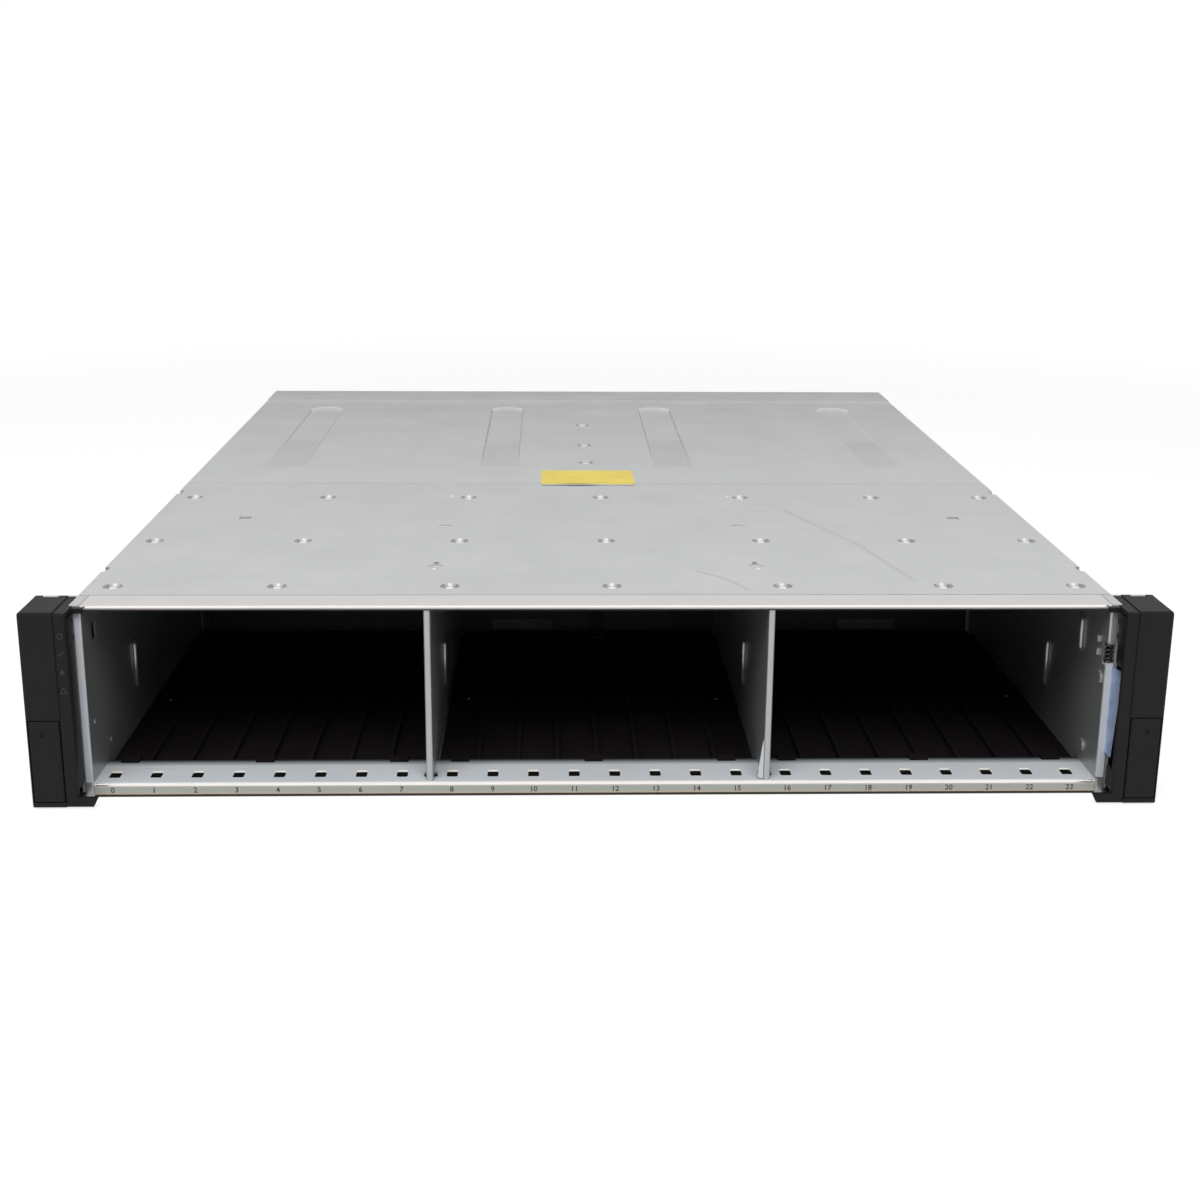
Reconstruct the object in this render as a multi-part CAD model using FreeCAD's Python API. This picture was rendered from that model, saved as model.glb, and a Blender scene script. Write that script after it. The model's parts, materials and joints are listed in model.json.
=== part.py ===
import FreeCAD, Part
import math
import os

# A 2U storage enclosure for a 19-inch rack: twenty-four empty bays for 2.5-inch drives at the front,
# a midplane behind them, and two controller canisters and two power modules at the rear.
# Millimetres. X runs to the right as seen from the front, Y to the rear and Z up.
# The pieces are drawn with the front plane of the sheet metal at Y 0. They are moved as they are
# saved, so that the origin of the finished part is the centre of its underside.

# Clearances
FIT = 0.3                    # between pieces that are fixed beside each other
SLIDE = 0.5                  # round a module that slides

# Flat sides that stand for a circle on small round pieces, and on the larger round of a fan
SMALL_SIDES = 8
FAN_SIDES = 24

# Sheet-metal enclosure
CHASSIS_HEIGHT = 86.4
CHASSIS_DEPTH = 541.0
SHEET = 1.2
WALL_DEPTH = 5.0             # from the drive space to the outside of the side wall
WALL_FLANGE = 14.0
SKIN_SETBACK = 0.5
PAN_FLANGE_HEIGHT = 12.0
PAN_FLANGE_START = 40.0

# Drive bays
BAYS_PER_GROUP = 8
GROUP_COUNT = 3
BAY_PITCH = 17.85
GROUP_GAP = 4.0
BAY_DEPTH = 226.0
PARTITION_THICKNESS = 3.0
PARTITION_FLANGE = 8.3
PARTITION_EDGE_RADIUS = 1.2
PARTITION_SETBACK = 0.8
PARTITION_TAB_DEPTH = 4.0
PARTITION_TAB_REACH = 4.0    # down into the sill

# Sill with its row of windows
SILL_HEIGHT = 6.4
SILL_DEPTH = 25.8
SILL_EDGE_RADIUS = 1.0
WINDOW_WIDTH = 4.7
WINDOW_LENGTH = 4.5
WINDOW_CENTRE_Y = 8.5
WINDOW_SHIFT = -1.6
TAB_HOLE_WIDTH = 6.0
TAB_HOLE_LENGTH = 7.0
TAB_HOLE_CORNER = 1.5

# Pressed beads in the bay walls
BEAD_RADIUS = 9.0
BEAD_PROUD = 1.2
BEAD_Y = 82.0
BEAD_Z = (22.0, 45.0)
UPPER_BEAD_Y = 35.5
UPPER_BEAD_Z = (55.0, 71.0)
LINER_SLOT_Y = (14.0, 21.0)
LINER_SLOT_Z = (66.0, 74.0)

# Plastic drive guides
GUIDE_PLATE = 2.5
GUIDE_RAIL_WIDTH = 2.0
GUIDE_RAIL_HEIGHT = 2.4
GUIDE_END_GAP = 12.0
HOOK_WIDTH = 8.0
HOOK_REACH = 3.5
HOOK_THICKNESS = 1.2
HOOK_STEP_BAYS = 3.35
ROOF_PLATE = 3.0

# Top sheets
RAIL_DEPTH = 15.6
RAIL_HEM = 1.9
RAIL_HEM_DEPTH = 6.0
COVER_SEAM = 234.0
SEAM_GAP = 0.4
REAR_HEM_DEPTH = 39.0
REAR_HEM_STEP = 0.6
SIDE_NOTCH_Y = (53.0, 208.0)
SIDE_NOTCH_SIZE = (7.0, 2.4)
PANEL_SLOT_Y = 151.0
PANEL_SLOT_EDGES = (46.6, 36.6)   # from the left and the right side
PANEL_SLOT_SIZE = (6.0, 5.0)
RIB_INNER_OFFSET = 51.0      # from the middle to the inner ribs
RIB_OUTER_INSET = 47.2       # from the sides to the outer ribs
RIB_WIDTH = 22.5
RIB_FRONT_GAP = 46.0         # from the seam to where a rib starts to sink
RIB_REAR_GAP = 63.0          # from the rounded end of a rib to the rear edge
RIB_DEPTH = 0.9
RIB_SLOPE = 1.0              # how far its walls lean in
RIB_RAMP = 80.0              # over which its front end sinks to the full depth

# Rivets in their pressed dimples
RIVET_ROWS = (29.5, 107.9, 200.2)
RIVET_EDGE = 11.2
RIVET_INSET = 6.2
RIVET_SPACING = 71.3
RIVET_SHANK_RADIUS = 1.2
RIVET_HOLE_RADIUS = 1.5
RIVET_HEAD_RADIUS = 1.9
RIVET_HEAD_HEIGHT = 0.5
DIMPLE_RADIUS = 4.4
DIMPLE_FLOOR_RADIUS = 2.9
DIMPLE_DEPTH = 1.05
DIMPLE_SIDES = 12
RIVET_SIDES = 6
CENTRE_RIVETS_FROM_SEAM = (57.0, 108.5, 176.0)

# Midplane
BOARD = 2.4
DRIVE_CONNECTOR = (6.0, 9.0, 34.0)
DRIVE_CONNECTOR_Z = 38.0
DRIVE_SLOT = (2.4, 5.0, 28.0)
AIR_SLOT_WIDTH = 8.0
AIR_SLOT_HEIGHT = 22.0
MIDPLANE_EDGE_GAP = 2.0
FRAME_FLANGE = 11.0
REAR_CONNECTOR_DEPTH = 12.0
CANISTER_CONNECTOR = (80.0, 10.0)
POWER_CONNECTOR = (30.0, 24.0)
CONNECTOR_MARGIN = 4.0

# Ears and end caps
EAR_WIDTH = 18.1
EAR_SHEET = 2.0
EAR_SETBACK = 13.5
EAR_LEG_LENGTH = 82.0
EAR_LEG_INSET = 8.0
RACK_HOLE_OFFSET = 9.35      # from the outside of the side wall
RACK_HOLE_Z = 21.05
RACK_HOLE_SPACING = 44.45
RACK_HOLE_RADIUS = 3.4
CAP_FRONT = 12.0
CAP_FRONT_WALL = 2.4
CAP_WALL = 2.0
CAP_BASE = 0.5
CAP_RISE = 0.6
CAP_OVERLAP = 1.7            # inwards past the outside of the side wall
CAP_STRIP = 5.2
CAP_STEP = 0.5
CAP_EDGE_RADIUS = 1.4
CAP_NOTCH = (7.0, 2.5)
TOE_REACH = 8.1
TOE_HEIGHT = 4.1
TONGUE_REACH = 4.5
TONGUE_HEIGHT = 2.1
TONGUE_DEPTH = 2.5
CLIP_THICKNESS = 1.6
CLIP_DEPTHS_FROM_TOP = (6.5, 13.0)
DOOR_MARGIN = 2.5
DOOR_HEIGHT = 36.3
DOOR_GAP = 0.5
DOOR_RIM = 0.8
DOOR_PIN_RADIUS = 0.6
DOOR_PIN_LENGTH = 1.4
DIMPLE_BELOW_TOP = 6.0
FINGER_DIMPLE_RADIUS = 1.2
LAMP_DROPS = (34.5, 26.1, 18.1, 10.3)    # below the top of the cap
LAMP_RADIUS = 1.1
LAMP_INSET = 3.5
LAMP_BAR_WIDTH = 2.4
LAMP_BAR_DEPTH = 1.2
LAMP_BAR_MARGIN = 3.0

# Spring latch at the right of the bays
LATCH_TRAVEL = 5.0
LATCH_BOTTOM = 7.4
LATCH_TOP = 59.9
LATCH_STRIP = 3.3
LATCH_LEG_LENGTH = 30.0
LATCH_TAB_DEPTH = 1.6
LATCH_TAB_Z = (17.1, 58.9)
LATCH_TAB_WIDTH = (2.4, 4.4)
SPRING_SPACE = 8.8
SPRING_TURNS = 4.5
SPRING_RADIUS = 1.7
SPRING_WIRE = 0.3
STEPS_PER_TURN = 10
WIRE_SIDES = 4
SPRING_SEAT_DEPTH = 4.7
STUD_PLACES = ((6.6, 52.0), (21.5, 14.4))
STUD_RADIUS = 1.5
STUD_HEAD_RADIUS = 3.0
STUD_HEAD_HEIGHT = 0.8
SPRING_LUG_PLACES = ((11.5, 62.0), (11.5, 68.0))
SPRING_LUG = (1.0, 2.4, 2.8)

# Modules at the rear
FACEPLATE = 1.5
CASE_WALL = 1.0
CIRCUIT_BOARD = 1.6
STANDOFF = 2.3
STANDOFF_RADIUS = 3.0
STANDOFF_SIDES = 6
VENT_COUNT = 9
VENT_PITCH = 6.0
VENT_WIDTH = 3.0
VENT_HEIGHT = 11.0
PORT_COUNT = 4
PORT_WIDTH = 14.2
PORT_HEIGHT = 9.2
PORT_WALL = 0.8
PORT_LENGTH = 46.0
PORT_START_X = -84.0
JACK_COUNT = 2
JACK_WIDTH = 11.8
JACK_HEIGHT = 8.4
JACK_WALL = 2.2
JACK_LENGTH = 18.0
JACK_START_X = 14.0
SOCKET_END = 2.0
PLUG_SEAT = 6.0
LEVER_HEIGHT = 12.0
LEVER_TOP_MARGIN = 4.4
LEVER_BARREL_RADIUS = 4.0
LEVER_STANDOFF = 6.5
LEVER_EDGE = 9.0
LEVER_ARM = 3.2
LEVER_ARM_GAP = 1.5
LEVER_TIP_LENGTH = 15.0
LEVER_TIP_RISE = 6.2
LEVER_PIN_RADIUS = 1.5
LUG = 2.0
CANISTER_LEVER_LENGTH = 62.0
POWER_LEVER_LENGTH = 32.0
POWER_LEVER_DROP = 8.0
FAN_SIZE = 60.0
FAN_DEPTH = 25.0
FAN_RIM = 1.5                # least wall round the bore
FAN_HUB_RADIUS = 13.0
FAN_EDGE = 6.0
FAN_CORNER_RADIUS = 4.0
FAN_STRUT = 3.0
FAN_BLADES = 7
FAN_TIP_GAP = 0.9
BLADE_CHORD = 15.0
BLADE_THICKNESS = 1.2
BLADE_ANGLE = 38.0
FAN_POST_RADIUS = 2.0
GRILLE_SLOTS = 9
GRILLE_BAR = 2.4
GRILLE_MARGIN = 0.8
INLET_SIZE = (27.6, 20.0)
INLET_POCKET = (24.4, 16.6)
INLET_POCKET_DEPTH = 16.0
INLET_DEPTH = 20.0
INLET_CHAMFER = 5.0
INLET_FLANGE = (3.0, 2.0)    # how far it stands out round the body, and its thickness
INLET_EDGE = 9.0             # from the inner side of the module to the flange
INLET_BASE = 6.0             # from the floor of the module to the inlet
FAN_INLET_GAP = 1.5
PIN_SIZE = (4.0, 14.0, 2.0)
PIN_SPACING = 14.0
PIN_RISE = 4.0

# Places worked out from the sizes above
GROUP_WIDTH = BAYS_PER_GROUP * BAY_PITCH
BAY_HALF = (GROUP_COUNT * GROUP_WIDTH + (GROUP_COUNT - 1) * GROUP_GAP) / 2
CHASSIS_HALF = BAY_HALF + WALL_DEPTH
SKIN_INNER = CHASSIS_HALF - SHEET
COVER_Z = CHASSIS_HEIGHT - SHEET
FLANGE_Z = COVER_Z - SHEET
MIDDLE_Z = (SHEET + FLANGE_Z) / 2
FRAME_Y = BAY_DEPTH + BOARD
REAR_CONNECTOR_Y = FRAME_Y + REAR_CONNECTOR_DEPTH
MODULE_FRONT = REAR_CONNECTOR_Y + CONNECTOR_MARGIN
FACE_Y = CHASSIS_DEPTH - FACEPLATE
INLET_ROOM = INLET_EDGE + INLET_SIZE[0] + 2 * INLET_FLANGE[0]
POWER_OUTER = SKIN_INNER - SHEET - SLIDE
POWER_INNER = POWER_OUTER - FAN_EDGE - FAN_SIZE - FAN_INLET_GAP - INLET_ROOM
DIVIDER_OUTER = POWER_INNER - SLIDE
DIVIDER_INNER = DIVIDER_OUTER - SHEET
CANISTER_WIDTH = 2 * (DIVIDER_INNER - SLIDE)
MODULE_BOTTOM = SHEET + SLIDE
CANISTER_TOP = MIDDLE_Z - SHEET / 2 - SLIDE
POWER_TOP = FLANGE_Z - SLIDE
CAP_INNER = CHASSIS_HALF - CAP_OVERLAP
CAP_OUTER = CHASSIS_HALF + EAR_WIDTH
CAP_STRIP_X = CAP_INNER + CAP_STRIP
CAP_TOP = CHASSIS_HEIGHT + CAP_RISE
CAP_HOLLOW_Y = CAP_FRONT_WALL - CAP_FRONT
LAMP_HEIGHTS = [CAP_TOP - drop for drop in LAMP_DROPS]
DOOR_Z = CAP_BASE + DOOR_MARGIN
DOOR_AXIS_X = CAP_STRIP_X + DOOR_GAP + CAP_FRONT_WALL / 2
DOOR_AXIS_Y = CAP_FRONT_WALL / 2 - CAP_FRONT
SPRING_TOP = LATCH_TOP + SPRING_SPACE
SPRING_Y = SPRING_SEAT_DEPTH / 2
SPRING_X = SKIN_INNER - FIT - SPRING_WIRE - SPRING_RADIUS
LATCH_LEG_X = BAY_HALF + SHEET + FIT
FAN_X = POWER_OUTER - FAN_EDGE - FAN_SIZE / 2
FAN_BORE_RADIUS = FAN_SIZE / 2 - FAN_RIM
FAN_Y = FACE_Y - FAN_DEPTH
INLET_X = POWER_INNER + INLET_ROOM - INLET_FLANGE[0] - INLET_SIZE[0] / 2
INLET_Z = MODULE_BOTTOM + INLET_BASE + INLET_SIZE[1] / 2


def vec(x, y, z):
    return FreeCAD.Vector(x, y, z)


def block(x0, x1, y0, y1, z0, z1):
    """Box between two opposite corners."""
    return Part.makeBox(x1 - x0, y1 - y0, z1 - z0, vec(x0, y0, z0))


def sheet_face(corners):
    return Part.Face(Part.makePolygon([*corners, corners[0]]))


def along_x(outline, x0, x1):
    """Solid of an outline in Y and Z, carried from x0 to x1."""
    return sheet_face([vec(x0, y, z) for y, z in outline]).extrude(vec(x1 - x0, 0, 0))


def along_y(outline, y0, y1):
    """Solid of an outline in X and Z, carried from y0 to y1."""
    return sheet_face([vec(x, y0, z) for x, z in outline]).extrude(vec(0, y1 - y0, 0))


def along_z(outline, z0, z1):
    """Solid of an outline in X and Y, carried from z0 to z1."""
    return sheet_face([vec(x, y, z0) for x, y in outline]).extrude(vec(0, 0, z1 - z0))


def ring(centre, radius, axis, sides):
    """Closed polygon round an axis, in place of a small circle."""
    lie = FreeCAD.Rotation(vec(0, 0, 1), axis)
    corners = []
    for side in range(sides):
        turn = 2 * math.pi * side / sides
        corners.append(centre + lie.multVec(vec(radius * math.cos(turn), radius * math.sin(turn), 0)))
    return Part.makePolygon([*corners, corners[0]])


def rod(radius, start, end, sides=0):
    """Round bar between two points. A small or repeated one is drawn with a number of flat sides."""
    line = end - start
    if sides == 0:
        return Part.makeCylinder(radius, line.Length, start, line)
    return Part.Face(ring(start, radius, line, sides)).extrude(line)


def upright_rod(radius, x, y, z0, z1, sides=0):
    return rod(radius, vec(x, y, z0), vec(x, y, z1), sides)


def cross_rod(radius, x, z, y0, y1, sides=0):
    return rod(radius, vec(x, y0, z), vec(x, y1, z), sides)


def round_edges(shape, radius, *places):
    """Rounds each straight edge that lies along one of the given lines.

    A place is a mapping of two axes to the coordinates that the edge keeps along its whole length.
    """
    chosen = []
    for edge in shape.Edges:
        ends = [vertex.Point for vertex in edge.Vertexes]
        for place in places:
            if all(abs(getattr(end, axis) - at) < 0.01 for axis, at in place.items() for end in ends):
                chosen.append(edge)
    return shape.makeFillet(radius, chosen)


def mirrored(shape):
    """The same piece for the other side of the enclosure."""
    return shape.mirror(vec(0, 0, 0), vec(1, 0, 0))


def half_turned(shape):
    """The same piece turned over, as the second of two equal modules is fitted."""
    turned = shape.copy()
    turned.rotate(vec(0, 0, MIDDLE_Z), vec(0, 1, 0), 180)
    return turned


def group_left(group):
    return -BAY_HALF + group * (GROUP_WIDTH + GROUP_GAP)


def bay_centres():
    for group in range(GROUP_COUNT):
        for bay in range(BAYS_PER_GROUP):
            yield group_left(group) + (bay + 0.5) * BAY_PITCH


def partition_x(group):
    """Middle of the partition at the right of a group of bays."""
    return group_left(group) + GROUP_WIDTH + GROUP_GAP / 2


def rivet_columns():
    """Columns of rivets: at the side walls, and at two places over each group of bays."""
    edge = CHASSIS_HALF - RIVET_EDGE
    columns = [-edge, edge]
    for group in range(GROUP_COUNT):
        inset = group_left(group) + RIVET_INSET
        columns.append(inset + RIVET_SPACING)
        if group > 0:
            columns.append(inset)
    return columns


def frustum(sides, x, y, low, high):
    """Upright tapered prism with flat sides; low and high are each a height and a radius."""
    rims = [ring(vec(x, y, z), radius, vec(0, 0, 1), sides) for z, radius in (low, high)]
    return Part.makeLoft(rims, True, True)


def rivet_hole(x, y, z0, z1):
    return upright_rod(RIVET_HOLE_RADIUS, x, y, z0, z1, RIVET_SIDES)


def rivet_holes(column):
    """Holes for one column of rivets, through everything below the top panel."""
    return [rivet_hole(column, y, FLANGE_Z - ROOF_PLATE, CHASSIS_HEIGHT) for y in RIVET_ROWS]


def base_pan():
    outline = [
        (-SKIN_INNER, 0), (SKIN_INNER, 0),
        (SKIN_INNER, PAN_FLANGE_HEIGHT), (SKIN_INNER - SHEET, PAN_FLANGE_HEIGHT),
        (SKIN_INNER - SHEET, SHEET), (SHEET - SKIN_INNER, SHEET),
        (SHEET - SKIN_INNER, PAN_FLANGE_HEIGHT), (-SKIN_INNER, PAN_FLANGE_HEIGHT),
    ]
    pan = along_y(outline, SHEET, CHASSIS_DEPTH)
    return pan.cut(block(-CHASSIS_HALF, CHASSIS_HALF, 0, PAN_FLANGE_START, SHEET, CHASSIS_HEIGHT))


def front_sill():
    inner_z = SILL_HEIGHT - SHEET
    outline = [
        (0, 0), (0, SILL_HEIGHT), (SILL_DEPTH, SILL_HEIGHT), (SILL_DEPTH, SHEET),
        (SILL_DEPTH - SHEET, SHEET), (SILL_DEPTH - SHEET, inner_z), (SHEET, inner_z), (SHEET, 0),
    ]
    sill = along_x(outline, -BAY_HALF, BAY_HALF)
    sill = round_edges(sill, SILL_EDGE_RADIUS, {"y": 0, "z": SILL_HEIGHT})
    cuts = []
    for centre in bay_centres():
        x = centre + WINDOW_SHIFT - WINDOW_WIDTH / 2
        y = WINDOW_CENTRE_Y - WINDOW_LENGTH / 2
        cuts.append(block(x, x + WINDOW_WIDTH, y, y + WINDOW_LENGTH, inner_z, SILL_HEIGHT))
    for group in range(GROUP_COUNT - 1):
        x = partition_x(group) - TAB_HOLE_WIDTH / 2
        y = WINDOW_CENTRE_Y - TAB_HOLE_LENGTH / 2
        hole = block(x, x + TAB_HOLE_WIDTH, y, y + TAB_HOLE_LENGTH, inner_z, SILL_HEIGHT)
        upright = [edge for edge in hole.Edges if edge.BoundBox.ZLength > SHEET / 2]
        cuts.append(hole.makeChamfer(TAB_HOLE_CORNER, upright))
    return sill.cut(cuts)


def side_wall():
    """Right side wall: outer skin, top flange for the covers and a tab beside the front rail."""
    outline = [
        (SKIN_INNER, 0), (CHASSIS_HALF, 0), (CHASSIS_HALF, COVER_Z),
        (SKIN_INNER - WALL_FLANGE, COVER_Z), (SKIN_INNER - WALL_FLANGE, FLANGE_Z), (SKIN_INNER, FLANGE_Z),
    ]
    wall = along_y(outline, SKIN_SETBACK, CHASSIS_DEPTH)
    wall = wall.cut(block(0, SKIN_INNER, 0, RAIL_DEPTH + SEAM_GAP, FLANGE_Z, CHASSIS_HEIGHT))
    tab = block(BAY_HALF + FIT * 2, CHASSIS_HALF, SKIN_SETBACK, RAIL_DEPTH, COVER_Z, CHASSIS_HEIGHT)
    holes = rivet_holes(CHASSIS_HALF - RIVET_EDGE)
    return wall.fuse(tab).cut(holes)


def bead(face_x, towards, y, heights):
    """Upright pressed bead that stands out of a bay wall towards +X or -X; its section is a flat arc."""
    centre_x = face_x - towards * (BEAD_RADIUS - BEAD_PROUD)
    cylinder = upright_rod(BEAD_RADIUS, centre_x, y, *heights)
    low, high = sorted((face_x, face_x + towards * BEAD_PROUD))
    return cylinder.common(block(low, high, y - BEAD_RADIUS, y + BEAD_RADIUS, *heights))


def bay_liner():
    """Right inner wall of the bays, with a flange turned outwards along its front edge."""
    flange_end = SKIN_INNER - FIT
    outline = [
        (BAY_HALF, 0), (flange_end, 0), (flange_end, SHEET),
        (BAY_HALF + SHEET, SHEET), (BAY_HALF + SHEET, BAY_DEPTH), (BAY_HALF, BAY_DEPTH),
    ]
    liner = along_z(outline, SHEET, FLANGE_Z)
    liner = round_edges(liner, SHEET - FIT, {"x": BAY_HALF, "y": 0})
    return liner.fuse(bead(BAY_HALF, -1, BEAD_Y, BEAD_Z))


def latched_bay_liner():
    """Right inner wall as fitted: cut back for the spring latch, with its spring seat, studs and lugs."""
    flange_end = SKIN_INNER - FIT
    notch = block(BAY_HALF - FIT, SKIN_INNER, -FIT, SHEET + FIT, LATCH_BOTTOM - FIT * 2, SPRING_TOP)
    pocket_z = LATCH_TOP - SHEET - FIT * 2
    pocket = block(BAY_HALF - FIT, SKIN_INNER, -FIT, SPRING_SEAT_DEPTH + SLIDE, pocket_z, SPRING_TOP)
    liner = bay_liner().cut([notch, pocket])
    extras = [bead(BAY_HALF, -1, UPPER_BEAD_Y, UPPER_BEAD_Z)]
    extras.append(block(BAY_HALF, flange_end, 0, SPRING_SEAT_DEPTH, SPRING_TOP, SPRING_TOP + SHEET))
    for y, z in STUD_PLACES:
        face = vec(BAY_HALF, y, z)
        extras.append(rod(STUD_HEAD_RADIUS, vec(BAY_HALF - STUD_HEAD_HEIGHT, y, z), face, SMALL_SIDES))
        extras.append(rod(STUD_RADIUS, face, vec(flange_end, y, z), SMALL_SIDES))
    proud, length, height = SPRING_LUG
    for y, z in SPRING_LUG_PLACES:
        low = z - height / 2
        extras.append(block(BAY_HALF - proud, BAY_HALF, y - length / 2, y + length / 2, low, low + height))
    return liner.fuse(extras)


def slotted_bay_liner():
    """Left inner wall: the plain one mirrored, with a slot near its front edge."""
    slot = block(-BAY_HALF - SHEET, -BAY_HALF, *LINER_SLOT_Y, *LINER_SLOT_Z)
    return mirrored(bay_liner()).cut(slot)


def partition(group):
    """Wall between two groups of bays: hemmed front edge, tab into the sill and top flange."""
    middle = partition_x(group)
    left = middle - PARTITION_THICKNESS / 2
    right = middle + PARTITION_THICKNESS / 2
    step_y = SILL_DEPTH + FIT
    outline = [
        (PARTITION_SETBACK, SILL_HEIGHT), (step_y, SILL_HEIGHT), (step_y, SHEET), (BAY_DEPTH, SHEET),
        (BAY_DEPTH, FLANGE_Z), (PARTITION_SETBACK, FLANGE_Z),
    ]
    wall = along_x(outline, left, right)
    front = PARTITION_SETBACK
    wall = round_edges(wall, PARTITION_EDGE_RADIUS, {"x": left, "y": front}, {"x": right, "y": front})
    tab_y = WINDOW_CENTRE_Y - PARTITION_TAB_DEPTH / 2
    tab_z = SILL_HEIGHT - PARTITION_TAB_REACH
    extras = [
        block(left, right, tab_y, tab_y + PARTITION_TAB_DEPTH, tab_z, SILL_HEIGHT),
        block(left, right + PARTITION_FLANGE, RAIL_DEPTH + SEAM_GAP, BAY_DEPTH, FLANGE_Z, COVER_Z),
        bead(left, -1, BEAD_Y, BEAD_Z),
        bead(right, 1, BEAD_Y, BEAD_Z),
    ]
    holes = rivet_holes(group_left(group + 1) + RIVET_INSET)
    return wall.fuse(extras).cut(holes)


def guide_floor(group):
    """Plastic floor of one group of bays, with a rail between bays and hooks over the sill."""
    left = group_left(group) + FIT
    right = group_left(group) + GROUP_WIDTH - FIT
    front = SILL_DEPTH + FIT
    back = BAY_DEPTH - GUIDE_END_GAP
    plate_top = SHEET + GUIDE_PLATE
    pieces = []
    for rail in range(1, BAYS_PER_GROUP):
        x = group_left(group) + rail * BAY_PITCH - GUIDE_RAIL_WIDTH / 2
        rail_top = plate_top + GUIDE_RAIL_HEIGHT
        pieces.append(block(x, x + GUIDE_RAIL_WIDTH, front, back, plate_top, rail_top))
    hook_outline = [
        (front, SHEET), (front + HOOK_REACH, SHEET), (front + HOOK_REACH, plate_top + GUIDE_RAIL_HEIGHT),
        (front + HOOK_THICKNESS, SILL_HEIGHT + HOOK_THICKNESS),
        (front - HOOK_REACH, SILL_HEIGHT + HOOK_THICKNESS), (front - HOOK_REACH, SILL_HEIGHT),
        (front, SILL_HEIGHT),
    ]
    centre = group_left(group) + GROUP_WIDTH / 2 + WINDOW_SHIFT
    for step in (-1, 0, 1):
        x = centre + step * HOOK_STEP_BAYS * BAY_PITCH - HOOK_WIDTH / 2
        pieces.append(along_x(hook_outline, x, x + HOOK_WIDTH))
    return block(left, right, front, back, SHEET, plate_top).fuse(pieces)


def guide_roofs():
    """Plastic ceilings of the three groups, between the flanges that carry the top panel."""
    roofs = []
    wall_edge = SKIN_INNER - WALL_FLANGE - FIT
    for group in range(GROUP_COUNT):
        left = group_left(group) + FIT
        right = group_left(group) + GROUP_WIDTH - FIT
        left = max(left + PARTITION_FLANGE, -wall_edge)
        right = min(right, wall_edge)
        bottom = COVER_Z - ROOF_PLATE
        back = BAY_DEPTH - GUIDE_END_GAP
        roof = block(left, right, RAIL_DEPTH + SEAM_GAP, back, bottom, COVER_Z)
        rails = []
        for rail in range(1, BAYS_PER_GROUP):
            x = group_left(group) + rail * BAY_PITCH - GUIDE_RAIL_WIDTH / 2
            rail_front = RAIL_DEPTH + SEAM_GAP
            rails.append(block(x, x + GUIDE_RAIL_WIDTH, rail_front, back, bottom - GUIDE_RAIL_HEIGHT, bottom))
        column = group_left(group) + RIVET_INSET + RIVET_SPACING
        roofs.append(roof.fuse(rails).cut(rivet_holes(column)))
    return roofs


def front_top_rail():
    """Lip over the bays: sheet with its front edge folded back under itself."""
    radius = RAIL_HEM / 2
    hem_z = CHASSIS_HEIGHT - RAIL_HEM
    half = BAY_HALF + FIT
    lip = block(-half, half, radius, RAIL_HEM_DEPTH, hem_z, CHASSIS_HEIGHT)
    nose = rod(radius, vec(-half, radius, hem_z + radius), vec(half, radius, hem_z + radius))
    plate = block(-half, half, RAIL_HEM_DEPTH, RAIL_DEPTH, COVER_Z, CHASSIS_HEIGHT)
    return lip.fuse([nose, plate]).removeSplitter()


def dimples(columns, rows):
    """Pressed cones, with a hole through the sheet, in which the rivets sit."""
    cuts = []
    floor = CHASSIS_HEIGHT - DIMPLE_DEPTH
    for x in columns:
        for y in rows:
            low = (floor, DIMPLE_FLOOR_RADIUS)
            cuts.append(frustum(DIMPLE_SIDES, x, y, low, (CHASSIS_HEIGHT, DIMPLE_RADIUS)))
            cuts.append(rivet_hole(x, y, COVER_Z, floor))
    return cuts


def front_top_panel():
    start = RAIL_DEPTH + SEAM_GAP
    panel = block(-CHASSIS_HALF, CHASSIS_HALF, start, COVER_SEAM, COVER_Z, CHASSIS_HEIGHT)
    cuts = dimples(rivet_columns(), RIVET_ROWS)
    length, depth = SIDE_NOTCH_SIZE
    for y in SIDE_NOTCH_Y:
        for edge in (-CHASSIS_HALF, CHASSIS_HALF - depth):
            cuts.append(block(edge, edge + depth, y, y + length, COVER_Z, CHASSIS_HEIGHT))
    width, length = PANEL_SLOT_SIZE
    y = PANEL_SLOT_Y
    for x in (PANEL_SLOT_EDGES[0] - CHASSIS_HALF, CHASSIS_HALF - PANEL_SLOT_EDGES[1]):
        cuts.append(block(x - width / 2, x + width / 2, y, y + length, COVER_Z, CHASSIS_HEIGHT))
    return panel.cut(cuts)


def rib_outline(x, front, rear, half, z):
    """Closed line of a rib seen from above: straight at the front and round at the rear."""
    corners = [vec(x + half, front, z), vec(x - half, front, z)]
    for step in range(FAN_SIDES // 2 + 1):
        turn = math.pi * (1 - 2 * step / FAN_SIDES)
        corners.append(vec(x + half * math.cos(turn), rear - half + half * math.sin(turn), z))
    return Part.makePolygon([*corners, corners[0]])


def rib_shape(x, widen, drop):
    """Pressed rib with leaning walls: its front end sinks along a ramp, and its rear end is round."""
    front = COVER_SEAM + RIB_FRONT_GAP
    rear = CHASSIS_DEPTH - RIB_REAR_GAP + widen
    half = RIB_WIDTH / 2 + widen
    top = CHASSIS_HEIGHT - drop
    mouth = rib_outline(x, front, rear, half, top)
    floor = rib_outline(x, front + RIB_RAMP, rear - RIB_SLOPE, half - RIB_SLOPE, top - RIB_DEPTH)
    return Part.makeLoft([floor, mouth], True, True)


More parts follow.
